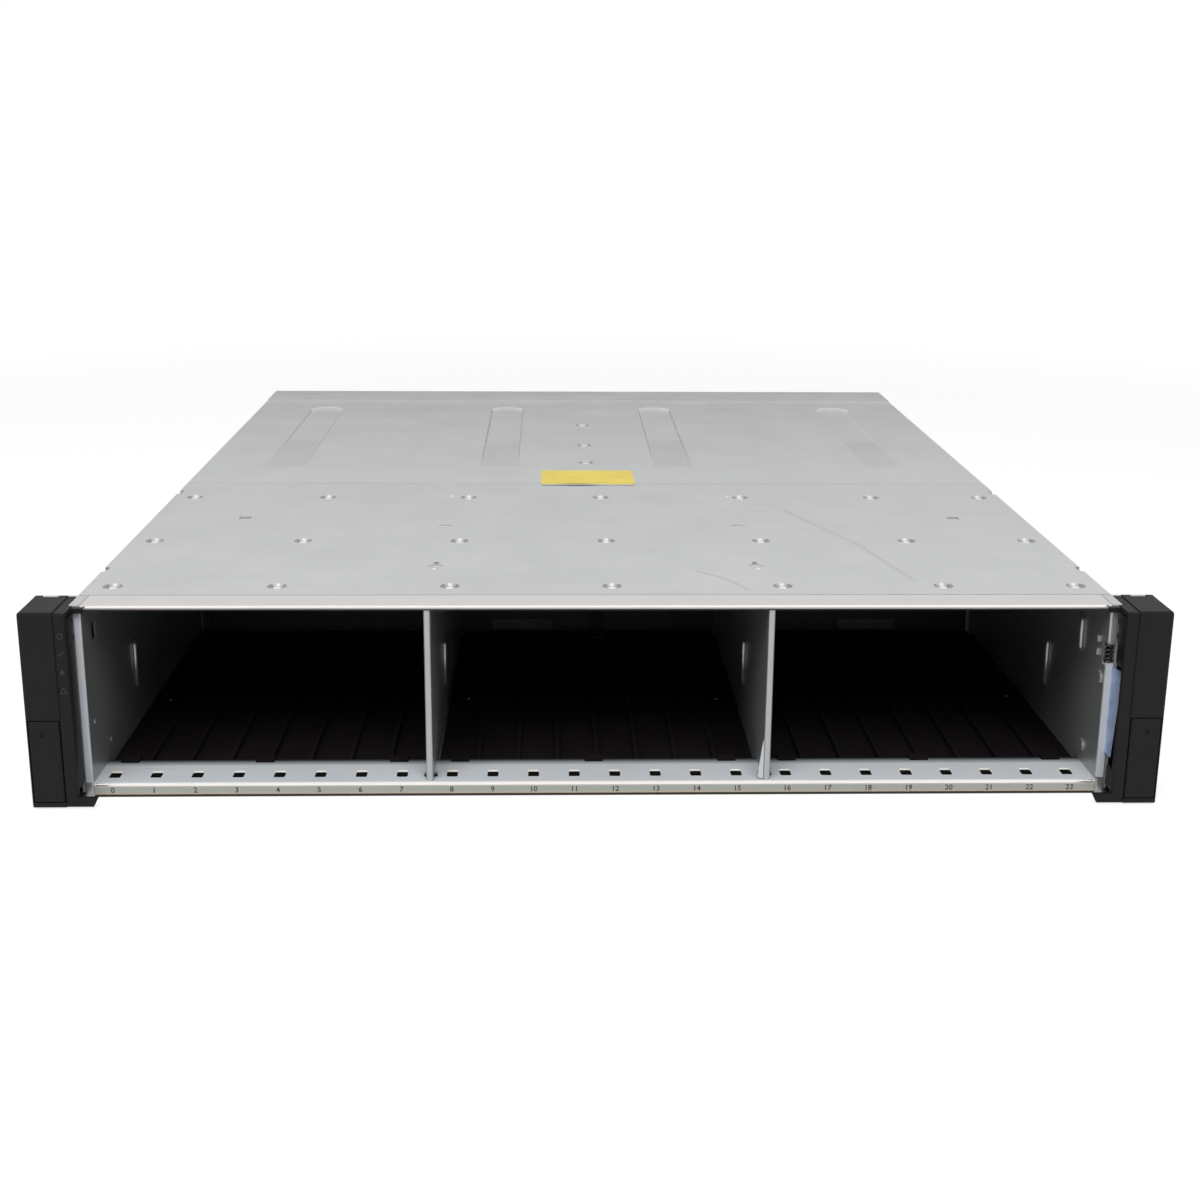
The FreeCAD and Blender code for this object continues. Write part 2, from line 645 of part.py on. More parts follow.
def rear_top_cover():
    """Cover of the modules: four pressed ribs, and a doubled hem along the rear edge."""
    hem_y = CHASSIS_DEPTH - REAR_HEM_DEPTH
    start = COVER_SEAM + SEAM_GAP
    hem_z = CHASSIS_HEIGHT + REAR_HEM_STEP
    outline = [
        (start, COVER_Z), (start, CHASSIS_HEIGHT), (hem_y, CHASSIS_HEIGHT),
        (hem_y + REAR_HEM_STEP, hem_z), (CHASSIS_DEPTH, hem_z), (CHASSIS_DEPTH, COVER_Z),
    ]
    cover = along_x(outline, -CHASSIS_HALF, CHASSIS_HALF)
    outer = CHASSIS_HALF - RIB_OUTER_INSET
    centres = (-outer, -RIB_INNER_OFFSET, RIB_INNER_OFFSET, outer)
    pads = [rib_shape(x, SHEET / 2, SHEET) for x in centres]
    cuts = [rib_shape(x, 0, 0) for x in centres]
    cuts += dimples([0], [COVER_SEAM + y for y in CENTRE_RIVETS_FROM_SEAM])
    return cover.fuse(pads).cut(cuts)


def rivet(x, y, bottom):
    floor = CHASSIS_HEIGHT - DIMPLE_DEPTH
    top = (floor + RIVET_HEAD_HEIGHT, RIVET_SHANK_RADIUS)
    head = frustum(RIVET_SIDES, x, y, (floor, RIVET_HEAD_RADIUS), top)
    shank = upright_rod(RIVET_SHANK_RADIUS, x, y, bottom, floor, RIVET_SIDES)
    return head.fuse(shank)


def top_rivets():
    rivets = [rivet(x, y, FLANGE_Z) for x in rivet_columns() for y in RIVET_ROWS]
    rivets += [rivet(0, COVER_SEAM + y, COVER_Z) for y in CENTRE_RIVETS_FROM_SEAM]
    return rivets


def midplane_board():
    """Circuit board across the back of the bays, with a slot for air above each connector."""
    half = BAY_HALF - MIDPLANE_EDGE_GAP
    top = FLANGE_Z - MIDPLANE_EDGE_GAP
    board = block(-half, half, BAY_DEPTH, FRAME_Y, SHEET, top)
    slot_top = top - MIDPLANE_EDGE_GAP
    cuts = []
    for x in bay_centres():
        left = x - AIR_SLOT_WIDTH / 2
        right = x + AIR_SLOT_WIDTH / 2
        cuts.append(block(left, right, BAY_DEPTH, FRAME_Y, slot_top - AIR_SLOT_HEIGHT, slot_top))
    return board.cut(cuts)


def drive_connectors():
    width, depth, height = DRIVE_CONNECTOR
    slot_width, slot_depth, slot_height = DRIVE_SLOT
    front = BAY_DEPTH - depth
    connectors = []
    for x in bay_centres():
        low = DRIVE_CONNECTOR_Z - height / 2
        body = block(x - width / 2, x + width / 2, front, BAY_DEPTH, low, low + height)
        low = DRIVE_CONNECTOR_Z - slot_height / 2
        half = slot_width / 2
        slot = block(x - half, x + half, front, front + slot_depth, low, low + slot_height)
        connectors.append(body.cut(slot))
    return connectors


def connector_places():
    """Centre and size, in X and Z, of the connectors of one canister and one power module."""
    canister_z = board_level() + CIRCUIT_BOARD + CANISTER_CONNECTOR[1] / 2
    power_x = (POWER_INNER + POWER_OUTER) / 2
    return [((0, canister_z), CANISTER_CONNECTOR), ((power_x, MIDDLE_Z), POWER_CONNECTOR)]


def connector_block(centre, size, margin, y0, y1):
    x, z = centre
    half_width = size[0] / 2 + margin
    half_height = size[1] / 2 + margin
    return block(x - half_width, x + half_width, y0, y1, z - half_height, z + half_height)


def module_connectors():
    blocks = [connector_block(*place, 0, FRAME_Y, REAR_CONNECTOR_Y) for place in connector_places()]
    return blocks + [half_turned(piece) for piece in blocks]


def midplane_frame():
    """Steel frame behind the midplane: windows for the connectors and end flanges on the side walls."""
    back = FRAME_Y + SHEET
    flange_low = PAN_FLANGE_HEIGHT + FIT
    plate_end = SKIN_INNER - SHEET * 2
    plate = block(-plate_end, plate_end, FRAME_Y, back, SHEET, FLANGE_Z)
    outline = [
        (plate_end, FRAME_Y), (SKIN_INNER, FRAME_Y), (SKIN_INNER, back + FRAME_FLANGE),
        (SKIN_INNER - SHEET, back + FRAME_FLANGE), (SKIN_INNER - SHEET, back), (plate_end, back),
    ]
    flange = along_z(outline, flange_low, FLANGE_Z)
    windows = [connector_block(*place, CONNECTOR_MARGIN, FRAME_Y, back) for place in connector_places()]
    windows += [half_turned(piece) for piece in windows]
    return plate.fuse([flange, mirrored(flange)]).cut(windows)


def bay_divider():
    """Right upright sheet between the canisters and a power module, with a top flange."""
    flange_end = DIVIDER_OUTER + WALL_FLANGE
    outline = [
        (DIVIDER_INNER, SHEET), (DIVIDER_OUTER, SHEET), (DIVIDER_OUTER, FLANGE_Z),
        (flange_end, FLANGE_Z), (flange_end, COVER_Z), (DIVIDER_INNER, COVER_Z),
    ]
    return along_y(outline, FRAME_Y + SHEET, CHASSIS_DEPTH)


def canister_shelf():
    low = MIDDLE_Z - SHEET / 2
    return block(-DIVIDER_INNER, DIVIDER_INNER, MODULE_FRONT, CHASSIS_DEPTH, low, low + SHEET)


def ear_bracket():
    """Right rack ear: front flange with the rack holes, and a leg along the side wall."""
    back = EAR_SETBACK + EAR_SHEET
    leg_end = EAR_SETBACK + EAR_LEG_LENGTH
    leg_low = CAP_BASE + EAR_LEG_INSET
    leg_high = CHASSIS_HEIGHT - EAR_LEG_INSET
    flange = block(CHASSIS_HALF, CAP_OUTER, EAR_SETBACK, back, CAP_BASE, CHASSIS_HEIGHT)
    leg_outline = [
        (EAR_SETBACK, leg_low), (leg_end - EAR_LEG_INSET, leg_low), (leg_end, leg_low + EAR_LEG_INSET),
        (leg_end, leg_high - EAR_LEG_INSET), (leg_end - EAR_LEG_INSET, leg_high), (EAR_SETBACK, leg_high),
    ]
    leg = along_x(leg_outline, CHASSIS_HALF, CHASSIS_HALF + EAR_SHEET)
    hole_x = CHASSIS_HALF + RACK_HOLE_OFFSET
    heights = (RACK_HOLE_Z, RACK_HOLE_Z + RACK_HOLE_SPACING)
    holes = [cross_rod(RACK_HOLE_RADIUS, hole_x, z, EAR_SETBACK, back) for z in heights]
    return flange.fuse(leg).cut(holes)


def end_cap():
    """Right moulded cap over the ear, open towards the bays and at the rear, with a door opening."""
    front = -CAP_FRONT
    step_front = front + CAP_STEP
    step_top = CAP_TOP - CAP_STEP
    cap = block(CAP_INNER, CAP_OUTER, front, EAR_SETBACK, CAP_BASE, CAP_TOP)
    corners = [{"x": CAP_OUTER, "y": front}, {"x": CAP_OUTER, "z": CAP_TOP}, {"y": front, "z": CAP_TOP}]
    cap = round_edges(cap, CAP_EDGE_RADIUS, *corners)
    beyond = EAR_SETBACK + CAP_FRONT
    strip_front = block(0, CAP_STRIP_X, front, step_front, CAP_BASE, CAP_TOP)
    strip_top = block(0, CAP_STRIP_X, front, EAR_SETBACK, step_top, CAP_TOP)
    cap = cap.cut([strip_front, strip_top])
    corners = [{"x": CAP_INNER, "y": step_front}, {"y": step_front, "z": step_top}]
    cap = round_edges(cap, CAP_EDGE_RADIUS, *corners)
    hollow_top = step_top - CAP_WALL
    hollow = block(0, CAP_OUTER - CAP_WALL, CAP_HOLLOW_Y, beyond, CAP_BASE + CAP_WALL, hollow_top)
    chassis_room = block(0, CHASSIS_HALF + FIT, -FIT, beyond, 0, CAP_TOP)
    door_low = DOOR_Z - DOOR_GAP
    door_high = DOOR_Z + DOOR_HEIGHT + DOOR_GAP
    door_room = block(CAP_STRIP_X, CAP_OUTER - DOOR_RIM, front, CAP_HOLLOW_Y, door_low, door_high)
    pin_length = DOOR_GAP + DOOR_PIN_LENGTH + FIT
    pin_low = DOOR_Z - pin_length
    pin_high = DOOR_Z + DOOR_HEIGHT + pin_length
    pin_room = upright_rod(DOOR_PIN_RADIUS + FIT, DOOR_AXIS_X, DOOR_AXIS_Y, pin_low, pin_high, SMALL_SIDES)
    notch_width, notch_depth = CAP_NOTCH
    notch_x = (CAP_STRIP_X + CAP_OUTER - notch_width) / 2
    notch = block(notch_x, notch_x + notch_width, EAR_SETBACK - notch_depth, beyond, hollow_top, CAP_TOP)
    cap = cap.cut([hollow, chassis_room, door_room, pin_room, notch])
    toe_x = CAP_INNER - TOE_REACH
    toe_top = CAP_BASE + TOE_HEIGHT
    toe_outline = [
        (toe_x + TOE_HEIGHT / 2, CAP_BASE), (CAP_INNER + CAP_WALL, CAP_BASE),
        (CAP_INNER + CAP_WALL, toe_top), (toe_x, toe_top),
    ]
    toe = along_y(toe_outline, step_front, CAP_HOLLOW_Y)
    tongue_top = step_top - CAP_STEP
    tongue_low = tongue_top - TONGUE_HEIGHT
    tongue_end = CAP_INNER - TONGUE_REACH
    tongue = block(tongue_end, CAP_INNER + CAP_WALL, -FIT - TONGUE_DEPTH, -FIT, tongue_low, tongue_top)
    clips = []
    for depth in CLIP_DEPTHS_FROM_TOP:
        z = CAP_TOP - depth
        clips.append(block(CAP_INNER, CHASSIS_HALF, CAP_HOLLOW_Y, -FIT, z - CLIP_THICKNESS, z))
    return cap.fuse([toe, tongue, *clips])


def lit_end_cap():
    """Left cap: the right one mirrored, with a hole for each indicator lamp."""
    cap = mirrored(end_cap())
    x = -(CAP_INNER + LAMP_INSET)
    radius = LAMP_RADIUS + FIT
    return cap.cut([cross_rod(radius, x, z, -CAP_FRONT, CAP_HOLLOW_Y, SMALL_SIDES) for z in LAMP_HEIGHTS])


def cap_door():
    """Door over the rack screw: its inner edge is a round barrel that carries the two hinge pins."""
    front = -CAP_FRONT
    outer = CAP_OUTER - DOOR_RIM - DOOR_GAP
    top = DOOR_Z + DOOR_HEIGHT
    plate = block(DOOR_AXIS_X, outer, front, CAP_HOLLOW_Y, DOOR_Z, top)
    barrel = upright_rod(CAP_FRONT_WALL / 2, DOOR_AXIS_X, DOOR_AXIS_Y, DOOR_Z, top)
    pin_low = DOOR_Z - DOOR_GAP - DOOR_PIN_LENGTH
    pin_high = top + DOOR_GAP + DOOR_PIN_LENGTH
    pin = upright_rod(DOOR_PIN_RADIUS, DOOR_AXIS_X, DOOR_AXIS_Y, pin_low, pin_high, SMALL_SIDES)
    dimple_x = (DOOR_AXIS_X + outer) / 2
    dimple_z = top - DIMPLE_BELOW_TOP
    dimple = cross_rod(FINGER_DIMPLE_RADIUS, dimple_x, dimple_z, front, front + CAP_STEP, SMALL_SIDES)
    return plate.fuse([barrel, pin]).removeSplitter().cut(dimple)


def light_pipes():
    """Clear moulding of the left cap: four round lenses on one bar."""
    x = -(CAP_INNER + LAMP_INSET)
    half = LAMP_BAR_WIDTH / 2
    low = LAMP_HEIGHTS[0] - LAMP_BAR_MARGIN
    high = LAMP_HEIGHTS[-1] + LAMP_BAR_MARGIN
    bar = block(x - half, x + half, CAP_HOLLOW_Y, CAP_HOLLOW_Y + LAMP_BAR_DEPTH, low, high)
    lens_front = CAP_STEP - CAP_FRONT
    lenses = [cross_rod(LAMP_RADIUS, x, z, lens_front, CAP_HOLLOW_Y, SMALL_SIDES) for z in LAMP_HEIGHTS]
    return bar.fuse(lenses)


def indicator_board():
    x = -(CAP_INNER + LAMP_INSET)
    half = LAMP_BAR_WIDTH / 2 + FIT
    low = LAMP_HEIGHTS[0] - LAMP_BAR_MARGIN * 2
    high = LAMP_HEIGHTS[-1] + LAMP_BAR_MARGIN * 2
    front = CAP_HOLLOW_Y + LAMP_BAR_DEPTH
    return block(x - half, x + half, front, front + CIRCUIT_BOARD, low, high)


def latch_slider():
    """Sliding strip of the latch: its leg runs behind the bay wall, slotted for two studs."""
    strip_end = BAY_HALF + LATCH_STRIP
    leg_top = LATCH_TOP - SHEET - FIT * 2
    strip = block(BAY_HALF, strip_end, 0, SHEET, LATCH_BOTTOM, LATCH_TOP)
    seat = block(BAY_HALF, strip_end, 0, SPRING_SEAT_DEPTH, LATCH_TOP - SHEET, LATCH_TOP)
    leg = block(LATCH_LEG_X, LATCH_LEG_X + SHEET, 0, LATCH_LEG_LENGTH, LATCH_BOTTOM, leg_top)
    reach = STUD_RADIUS + FIT
    slots = []
    for y, z in STUD_PLACES:
        low = z - LATCH_TRAVEL
        slots.append(block(LATCH_LEG_X, LATCH_LEG_X + SHEET, y - reach, y + reach, low, z))
        for end in (low, z):
            slots.append(rod(reach, vec(LATCH_LEG_X, y, end), vec(LATCH_LEG_X + SHEET, y, end), SMALL_SIDES))
    return strip.fuse([seat, leg]).cut(slots)


def latch_tab():
    """Coloured finger tab on the front of the slider, wider at its top."""
    inner = BAY_HALF + LATCH_STRIP - FIT * 2
    low, high = LATCH_TAB_Z
    low_width, high_width = LATCH_TAB_WIDTH
    outline = [
        (inner, low + low_width), (inner + low_width, low),
        (inner + high_width, high - low_width), (inner, high),
    ]
    return along_y(outline, -LATCH_TAB_DEPTH, 0)


def latch_spring():
    """Coil spring between the slider and the bay wall: square wire in short straight steps."""
    rise = SPRING_SPACE - 2 * SPRING_WIRE
    steps = round(SPRING_TURNS * STEPS_PER_TURN)
    path = []
    for step in range(steps + 1):
        turn = 2 * math.pi * step / STEPS_PER_TURN
        x = SPRING_RADIUS * math.cos(turn)
        y = SPRING_RADIUS * math.sin(turn)
        path.append(vec(x, y, rise * step / steps))
    section = ring(path[0], SPRING_WIRE, vec(0, 1, 0), WIRE_SIDES)
    right_corner = 1
    spring = Part.makePolygon(path).makePipeShell([section], True, False, right_corner)
    spring.translate(vec(SPRING_X, SPRING_Y, LATCH_TOP + SPRING_WIRE))
    return spring


def module_case(x0, x1, top, window):
    """Sheet-metal case of a module, open at the rear and with a window for its connector."""
    back = FACE_Y
    outer = block(x0, x1, MODULE_FRONT, back, MODULE_BOTTOM, top)
    wall = CASE_WALL
    hollow = block(x0 + wall, x1 - wall, MODULE_FRONT + wall, back, MODULE_BOTTOM + wall, top - wall)
    return outer.cut([hollow, window])


def board_level():
    return MODULE_BOTTOM + CASE_WALL + STANDOFF


def canister_case():
    half = CANISTER_WIDTH / 2
    place = connector_places()[0]
    window = connector_block(*place, CONNECTOR_MARGIN, MODULE_FRONT, MODULE_FRONT + CASE_WALL)
    case = module_case(-half, half, CANISTER_TOP, window)
    floor = MODULE_BOTTOM + CASE_WALL
    posts = []
    for x in (LEVER_EDGE - half, half - LEVER_EDGE):
        for y in (MODULE_FRONT + PORT_LENGTH, FACE_Y - PORT_LENGTH):
            posts.append(upright_rod(STANDOFF_RADIUS, x, y, floor, board_level(), STANDOFF_SIDES))
    return case.fuse(posts)


def canister_board():
    """Circuit board of a canister, with the connector that meets the midplane."""
    half = CANISTER_WIDTH / 2 - CASE_WALL - FIT
    low = board_level()
    front = MODULE_FRONT + CASE_WALL + FIT
    board = block(-half, half, front, FACE_Y - FIT, low, low + CIRCUIT_BOARD)
    plug = connector_block(*connector_places()[0], 0, REAR_CONNECTOR_Y + FIT, front + PLUG_SEAT)
    return board.fuse(plug)


def socket_row(x, count, width, height, wall, length):
    """Row of equal sockets in one housing on the canister board, open at the rear."""
    low = board_level() + CIRCUIT_BOARD
    total = count * width + (count + 1) * wall
    front = CHASSIS_DEPTH - length
    housing = block(x, x + total, front, CHASSIS_DEPTH, low, low + height + 2 * wall)
    pockets = []
    for socket in range(count):
        left = x + wall + socket * (width + wall)
        pockets.append(
            block(left, left + width, front + SOCKET_END, CHASSIS_DEPTH, low + wall, low + wall + height)
        )
    return housing.cut(pockets)


def host_ports():
    return socket_row(PORT_START_X, PORT_COUNT, PORT_WIDTH, PORT_HEIGHT, PORT_WALL, PORT_LENGTH)


def network_ports():
    return socket_row(JACK_START_X, JACK_COUNT, JACK_WIDTH, JACK_HEIGHT, JACK_WALL, JACK_LENGTH)


def lever(pivot_x, top, length):
    """Cam lever that lies along a faceplate from its pivot towards +X, with a turned-out finger end."""
    low = top - LEVER_HEIGHT
    inner = LEVER_ARM_GAP - LEVER_STANDOFF
    outer = inner + LEVER_ARM
    bend = length - LEVER_TIP_LENGTH
    outline = [
        (0, -LEVER_BARREL_RADIUS), (bend, inner), (length, inner + LEVER_TIP_RISE),
        (length - LEVER_ARM / 2, outer + LEVER_TIP_RISE), (bend - LEVER_ARM / 2, outer),
        (0, LEVER_BARREL_RADIUS),
    ]
    pivot_y = CHASSIS_DEPTH + LEVER_STANDOFF
    arm = along_z([(pivot_x + x, pivot_y + y) for x, y in outline], low, top)
    barrel = upright_rod(LEVER_BARREL_RADIUS, pivot_x, pivot_y, low, top, SMALL_SIDES)
    reach = FIT + LUG
    pin = upright_rod(LEVER_PIN_RADIUS, pivot_x, pivot_y, low - reach, top + reach, SMALL_SIDES)
    return arm.fuse([barrel, pin])


def lever_lugs(pivot_x, top):
    """Two ears of a faceplate that hold the pin of a lever."""
    pivot_y = CHASSIS_DEPTH + LEVER_STANDOFF
    lugs = []
    half = LEVER_BARREL_RADIUS
    for low in (top - LEVER_HEIGHT - FIT - LUG, top + FIT):
        stem = block(pivot_x - half, pivot_x + half, CHASSIS_DEPTH, pivot_y, low, low + LUG)
        head = upright_rod(half, pivot_x, pivot_y, low, low + LUG, SMALL_SIDES)
        hole = upright_rod(LEVER_PIN_RADIUS + FIT, pivot_x, pivot_y, low, low + LUG, SMALL_SIDES)
        lugs.append(stem.fuse(head).cut(hole))
    return lugs


def canister_pivot():
    return LEVER_EDGE - CANISTER_WIDTH / 2, CANISTER_TOP - LEVER_TOP_MARGIN


def canister_lever():
    return lever(*canister_pivot(), CANISTER_LEVER_LENGTH)


def canister_faceplate():
    half = CANISTER_WIDTH / 2
    plate = block(-half, half, FACE_Y, CHASSIS_DEPTH, MODULE_BOTTOM, CANISTER_TOP)
    low = board_level() + CIRCUIT_BOARD
    cuts = []
    for x, count, width, height, wall in (
        (PORT_START_X, PORT_COUNT, PORT_WIDTH, PORT_HEIGHT, PORT_WALL),
        (JACK_START_X, JACK_COUNT, JACK_WIDTH, JACK_HEIGHT, JACK_WALL),
    ):
        right = x + count * width + (count + 1) * wall
        high = low + height + 2 * wall
        cuts.append(block(x - FIT, right + FIT, FACE_Y, CHASSIS_DEPTH, low - FIT, high + FIT))
    pivot_x, lever_top = canister_pivot()
    vent_middle = lever_top - LEVER_HEIGHT / 2
    for vent in range(VENT_COUNT):
        x = (vent - (VENT_COUNT - 1) / 2) * VENT_PITCH
        left = x - VENT_WIDTH / 2
        low = vent_middle - VENT_HEIGHT / 2
        cuts.append(block(left, left + VENT_WIDTH, FACE_Y, CHASSIS_DEPTH, low, low + VENT_HEIGHT))
    lugs = lever_lugs(pivot_x, lever_top)
    lugs += [mirrored(piece) for piece in lugs]
    return plate.cut(cuts).fuse(lugs)


def power_case():
    place = connector_places()[1]
    window = connector_block(*place, CONNECTOR_MARGIN, MODULE_FRONT, MODULE_FRONT + CASE_WALL)
    return module_case(POWER_INNER, POWER_OUTER, POWER_TOP, window)


def power_pivot():
    return POWER_INNER + LEVER_EDGE, POWER_TOP - POWER_LEVER_DROP


def power_lever():
    return lever(*power_pivot(), POWER_LEVER_LENGTH)


def grille_cuts():
    """Level slots cut through a faceplate over the fan, each as long as the round of the fan allows."""
    reach = FAN_BORE_RADIUS - GRILLE_MARGIN
    slots = []
    for step in range(GRILLE_SLOTS):
        offset = (step - (GRILLE_SLOTS - 1) / 2) * 2 * reach / GRILLE_SLOTS
        height = 2 * reach / GRILLE_SLOTS - GRILLE_BAR
        edge = abs(offset) + height / 2
        half = math.sqrt(reach * reach - edge * edge)
        low = MIDDLE_Z + offset - height / 2
        slots.append(block(FAN_X - half, FAN_X + half, FACE_Y, CHASSIS_DEPTH, low, low + height))
    return slots


def inlet_outline(size):
    """Outline of a mains inlet: a rectangle with its two upper corners cut off."""
    half_width = size[0] / 2
    half_height = size[1] / 2
    left, right = INLET_X - half_width, INLET_X + half_width
    low, high = INLET_Z - half_height, INLET_Z + half_height
    return [
        (left, low), (right, low), (right, high - INLET_CHAMFER), (right - INLET_CHAMFER, high),
        (left + INLET_CHAMFER, high), (left, high - INLET_CHAMFER),
    ]


def power_faceplate():
    plate = block(POWER_INNER, POWER_OUTER, FACE_Y, CHASSIS_DEPTH, MODULE_BOTTOM, POWER_TOP)
    hole_size = (INLET_SIZE[0] + 2 * FIT, INLET_SIZE[1] + 2 * FIT)
    hole = along_y(inlet_outline(hole_size), FACE_Y, CHASSIS_DEPTH)
    return plate.cut([*grille_cuts(), hole]).fuse(lever_lugs(*power_pivot()))


def power_inlet():
    """Mains inlet: housing with a flange behind the faceplate and three pins in its pocket."""
    margin, thickness = INLET_FLANGE
    body = along_y(inlet_outline(INLET_SIZE), CHASSIS_DEPTH - INLET_DEPTH, CHASSIS_DEPTH)
    flange = connector_block((INLET_X, INLET_Z), INLET_SIZE, margin, FACE_Y - thickness, FACE_Y)
    pocket_floor = CHASSIS_DEPTH - INLET_POCKET_DEPTH
    pocket = along_y(inlet_outline(INLET_POCKET), pocket_floor, CHASSIS_DEPTH)
    width, length, thick = PIN_SIZE
    pins = []
    for x, z in ((-PIN_SPACING / 2, 0), (PIN_SPACING / 2, 0), (0, PIN_RISE)):
        left = INLET_X + x - thick / 2
        low = INLET_Z + z - width / 2
        pins.append(block(left, left + thick, pocket_floor, pocket_floor + length, low, low + width))
    return body.fuse(flange).cut(pocket).fuse(pins)


def fan_frame():
    """Square fan housing: round bore, and struts to the post that the rotor turns on."""
    half = FAN_SIZE / 2
    frame = block(FAN_X - half, FAN_X + half, FAN_Y, FACE_Y, MIDDLE_Z - half, MIDDLE_Z + half)
    long_edges = [edge for edge in frame.Edges if edge.BoundBox.YLength > FAN_DEPTH / 2]
    frame = frame.makeFillet(FAN_CORNER_RADIUS, long_edges)
    frame = frame.cut(cross_rod(FAN_BORE_RADIUS, FAN_X, MIDDLE_Z, FAN_Y, FACE_Y, FAN_SIDES))
    strut_end = FAN_Y + FAN_STRUT
    web = FAN_STRUT / 2
    reach = FAN_BORE_RADIUS + web
    parts = [
        block(FAN_X - reach, FAN_X + reach, FAN_Y, strut_end, MIDDLE_Z - web, MIDDLE_Z + web),
        block(FAN_X - web, FAN_X + web, FAN_Y, strut_end, MIDDLE_Z - reach, MIDDLE_Z + reach),
        cross_rod(FAN_HUB_RADIUS, FAN_X, MIDDLE_Z, FAN_Y, strut_end, FAN_SIDES),
        cross_rod(FAN_POST_RADIUS, FAN_X, MIDDLE_Z, strut_end, FACE_Y - FAN_DEPTH / 2, SMALL_SIDES),
    ]
    return frame.fuse(parts)


def fan_blade(middle_y):
    """One flat blade from the hub outwards, set at the pitch angle."""
    half = BLADE_CHORD / 2
    low = MIDDLE_Z + FAN_HUB_RADIUS / 2
    high = MIDDLE_Z + FAN_BORE_RADIUS
    thick = BLADE_THICKNESS / 2
    blade = block(FAN_X - half, FAN_X + half, middle_y - thick, middle_y + thick, low, high)
    blade.rotate(vec(FAN_X, middle_y, 0), vec(0, 0, 1), BLADE_ANGLE)
    return blade


def fan_rotor():
    """Hub with pitched blades that turns on the post of the fan frame."""
    low = FAN_Y + FAN_STRUT + SLIDE
    high = FACE_Y - SLIDE * 2
    middle = (low + high) / 2
    hub = cross_rod(FAN_HUB_RADIUS, FAN_X, MIDDLE_Z, low, high, FAN_SIDES)
    reach = cross_rod(FAN_BORE_RADIUS - FAN_TIP_GAP, FAN_X, MIDDLE_Z, low, high, FAN_SIDES)
    blade = fan_blade(middle).common(reach)
    blades = []
    for step in range(FAN_BLADES):
        turned = blade.copy()
        turned.rotate(vec(FAN_X, 0, MIDDLE_Z), vec(0, 1, 0), step * 360 / FAN_BLADES)
        blades.append(turned)
    post_room = FACE_Y - FAN_DEPTH / 2 + SLIDE
    bore = cross_rod(FAN_POST_RADIUS + FIT, FAN_X, MIDDLE_Z, low, post_room, SMALL_SIDES)
    return hub.fuse(blades).cut(bore)


def save(name, shape):
    """Writes one piece, moved so that the origin is the centre of the enclosure's underside."""
    solids = shape if isinstance(shape, list) else [shape]
    moved = []
    for solid in solids:
        piece = solid.copy()
        piece.translate(vec(0, -CHASSIS_DEPTH / 2, 0))
        moved.append(piece)
    whole = moved[0] if len(moved) == 1 else Part.makeCompound(moved)
    whole.exportStep(f"parts/{name}.step")


def save_pair(first, second, shape, other):
    """Writes a piece and its counterpart, made by the given turn."""
    save(first, shape)
    save(second, other(shape))


os.makedirs("parts", exist_ok=True)
save("base_pan", base_pan())
save("front_sill", front_sill())
save_pair("right_side_wall", "left_side_wall", side_wall(), mirrored)
save("left_bay_liner", slotted_bay_liner())
save("right_bay_liner", latched_bay_liner())
save("left_partition", partition(0))
save("right_partition", partition(1))
for group, side in enumerate(("left", "middle", "right")):
    save(f"{side}_guide_floor", guide_floor(group))
save("guide_roofs", guide_roofs())
save("front_top_rail", front_top_rail())
save("front_top_panel", front_top_panel())
save("rear_top_cover", rear_top_cover())
save("top_rivets", top_rivets())
save("midplane_board", midplane_board())
save("drive_connectors", drive_connectors())
save("module_connectors", module_connectors())
save("midplane_frame", midplane_frame())
save_pair("right_bay_divider", "left_bay_divider", bay_divider(), mirrored)
save("canister_shelf", canister_shelf())
save_pair("right_ear_bracket", "left_ear_bracket", ear_bracket(), mirrored)
save("right_end_cap", end_cap())
save("left_end_cap", lit_end_cap())
save_pair("right_cap_door", "left_cap_door", cap_door(), mirrored)
save("light_pipes", light_pipes())
save("indicator_board", indicator_board())
save("latch_slider", latch_slider())
save("latch_tab", latch_tab())
save("latch_spring", latch_spring())
for piece, shape in (
    ("case", canister_case()),
    ("board", canister_board()),
    ("faceplate", canister_faceplate()),
    ("host_ports", host_ports()),
    ("network_ports", network_ports()),
    ("left_lever", canister_lever()),
    ("right_lever", mirrored(canister_lever())),
):
    save_pair(f"lower_canister_{piece}", f"upper_canister_{piece}", shape, half_turned)
for piece, shape in (
    ("case", power_case()),
    ("faceplate", power_faceplate()),
    ("inlet", power_inlet()),
    ("lever", power_lever()),
    ("fan_frame", fan_frame()),
    ("fan_rotor", fan_rotor()),
):
    save_pair(f"right_power_{piece}", f"left_power_{piece}", shape, half_turned)
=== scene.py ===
# %% [markdown]
# A two-unit storage enclosure for a 19-inch rack, seen with its twenty-four drive bays empty. The construction comes
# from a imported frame: every sheet, module and moulding is there as a node at its real size. This lesson keeps those
# meshes, gives each one a finish, and adds what is too fine for the construction: rivet heads, printing, screws,
# contacts and a coil spring of round wire.

# %% Load the frame
import json
import math

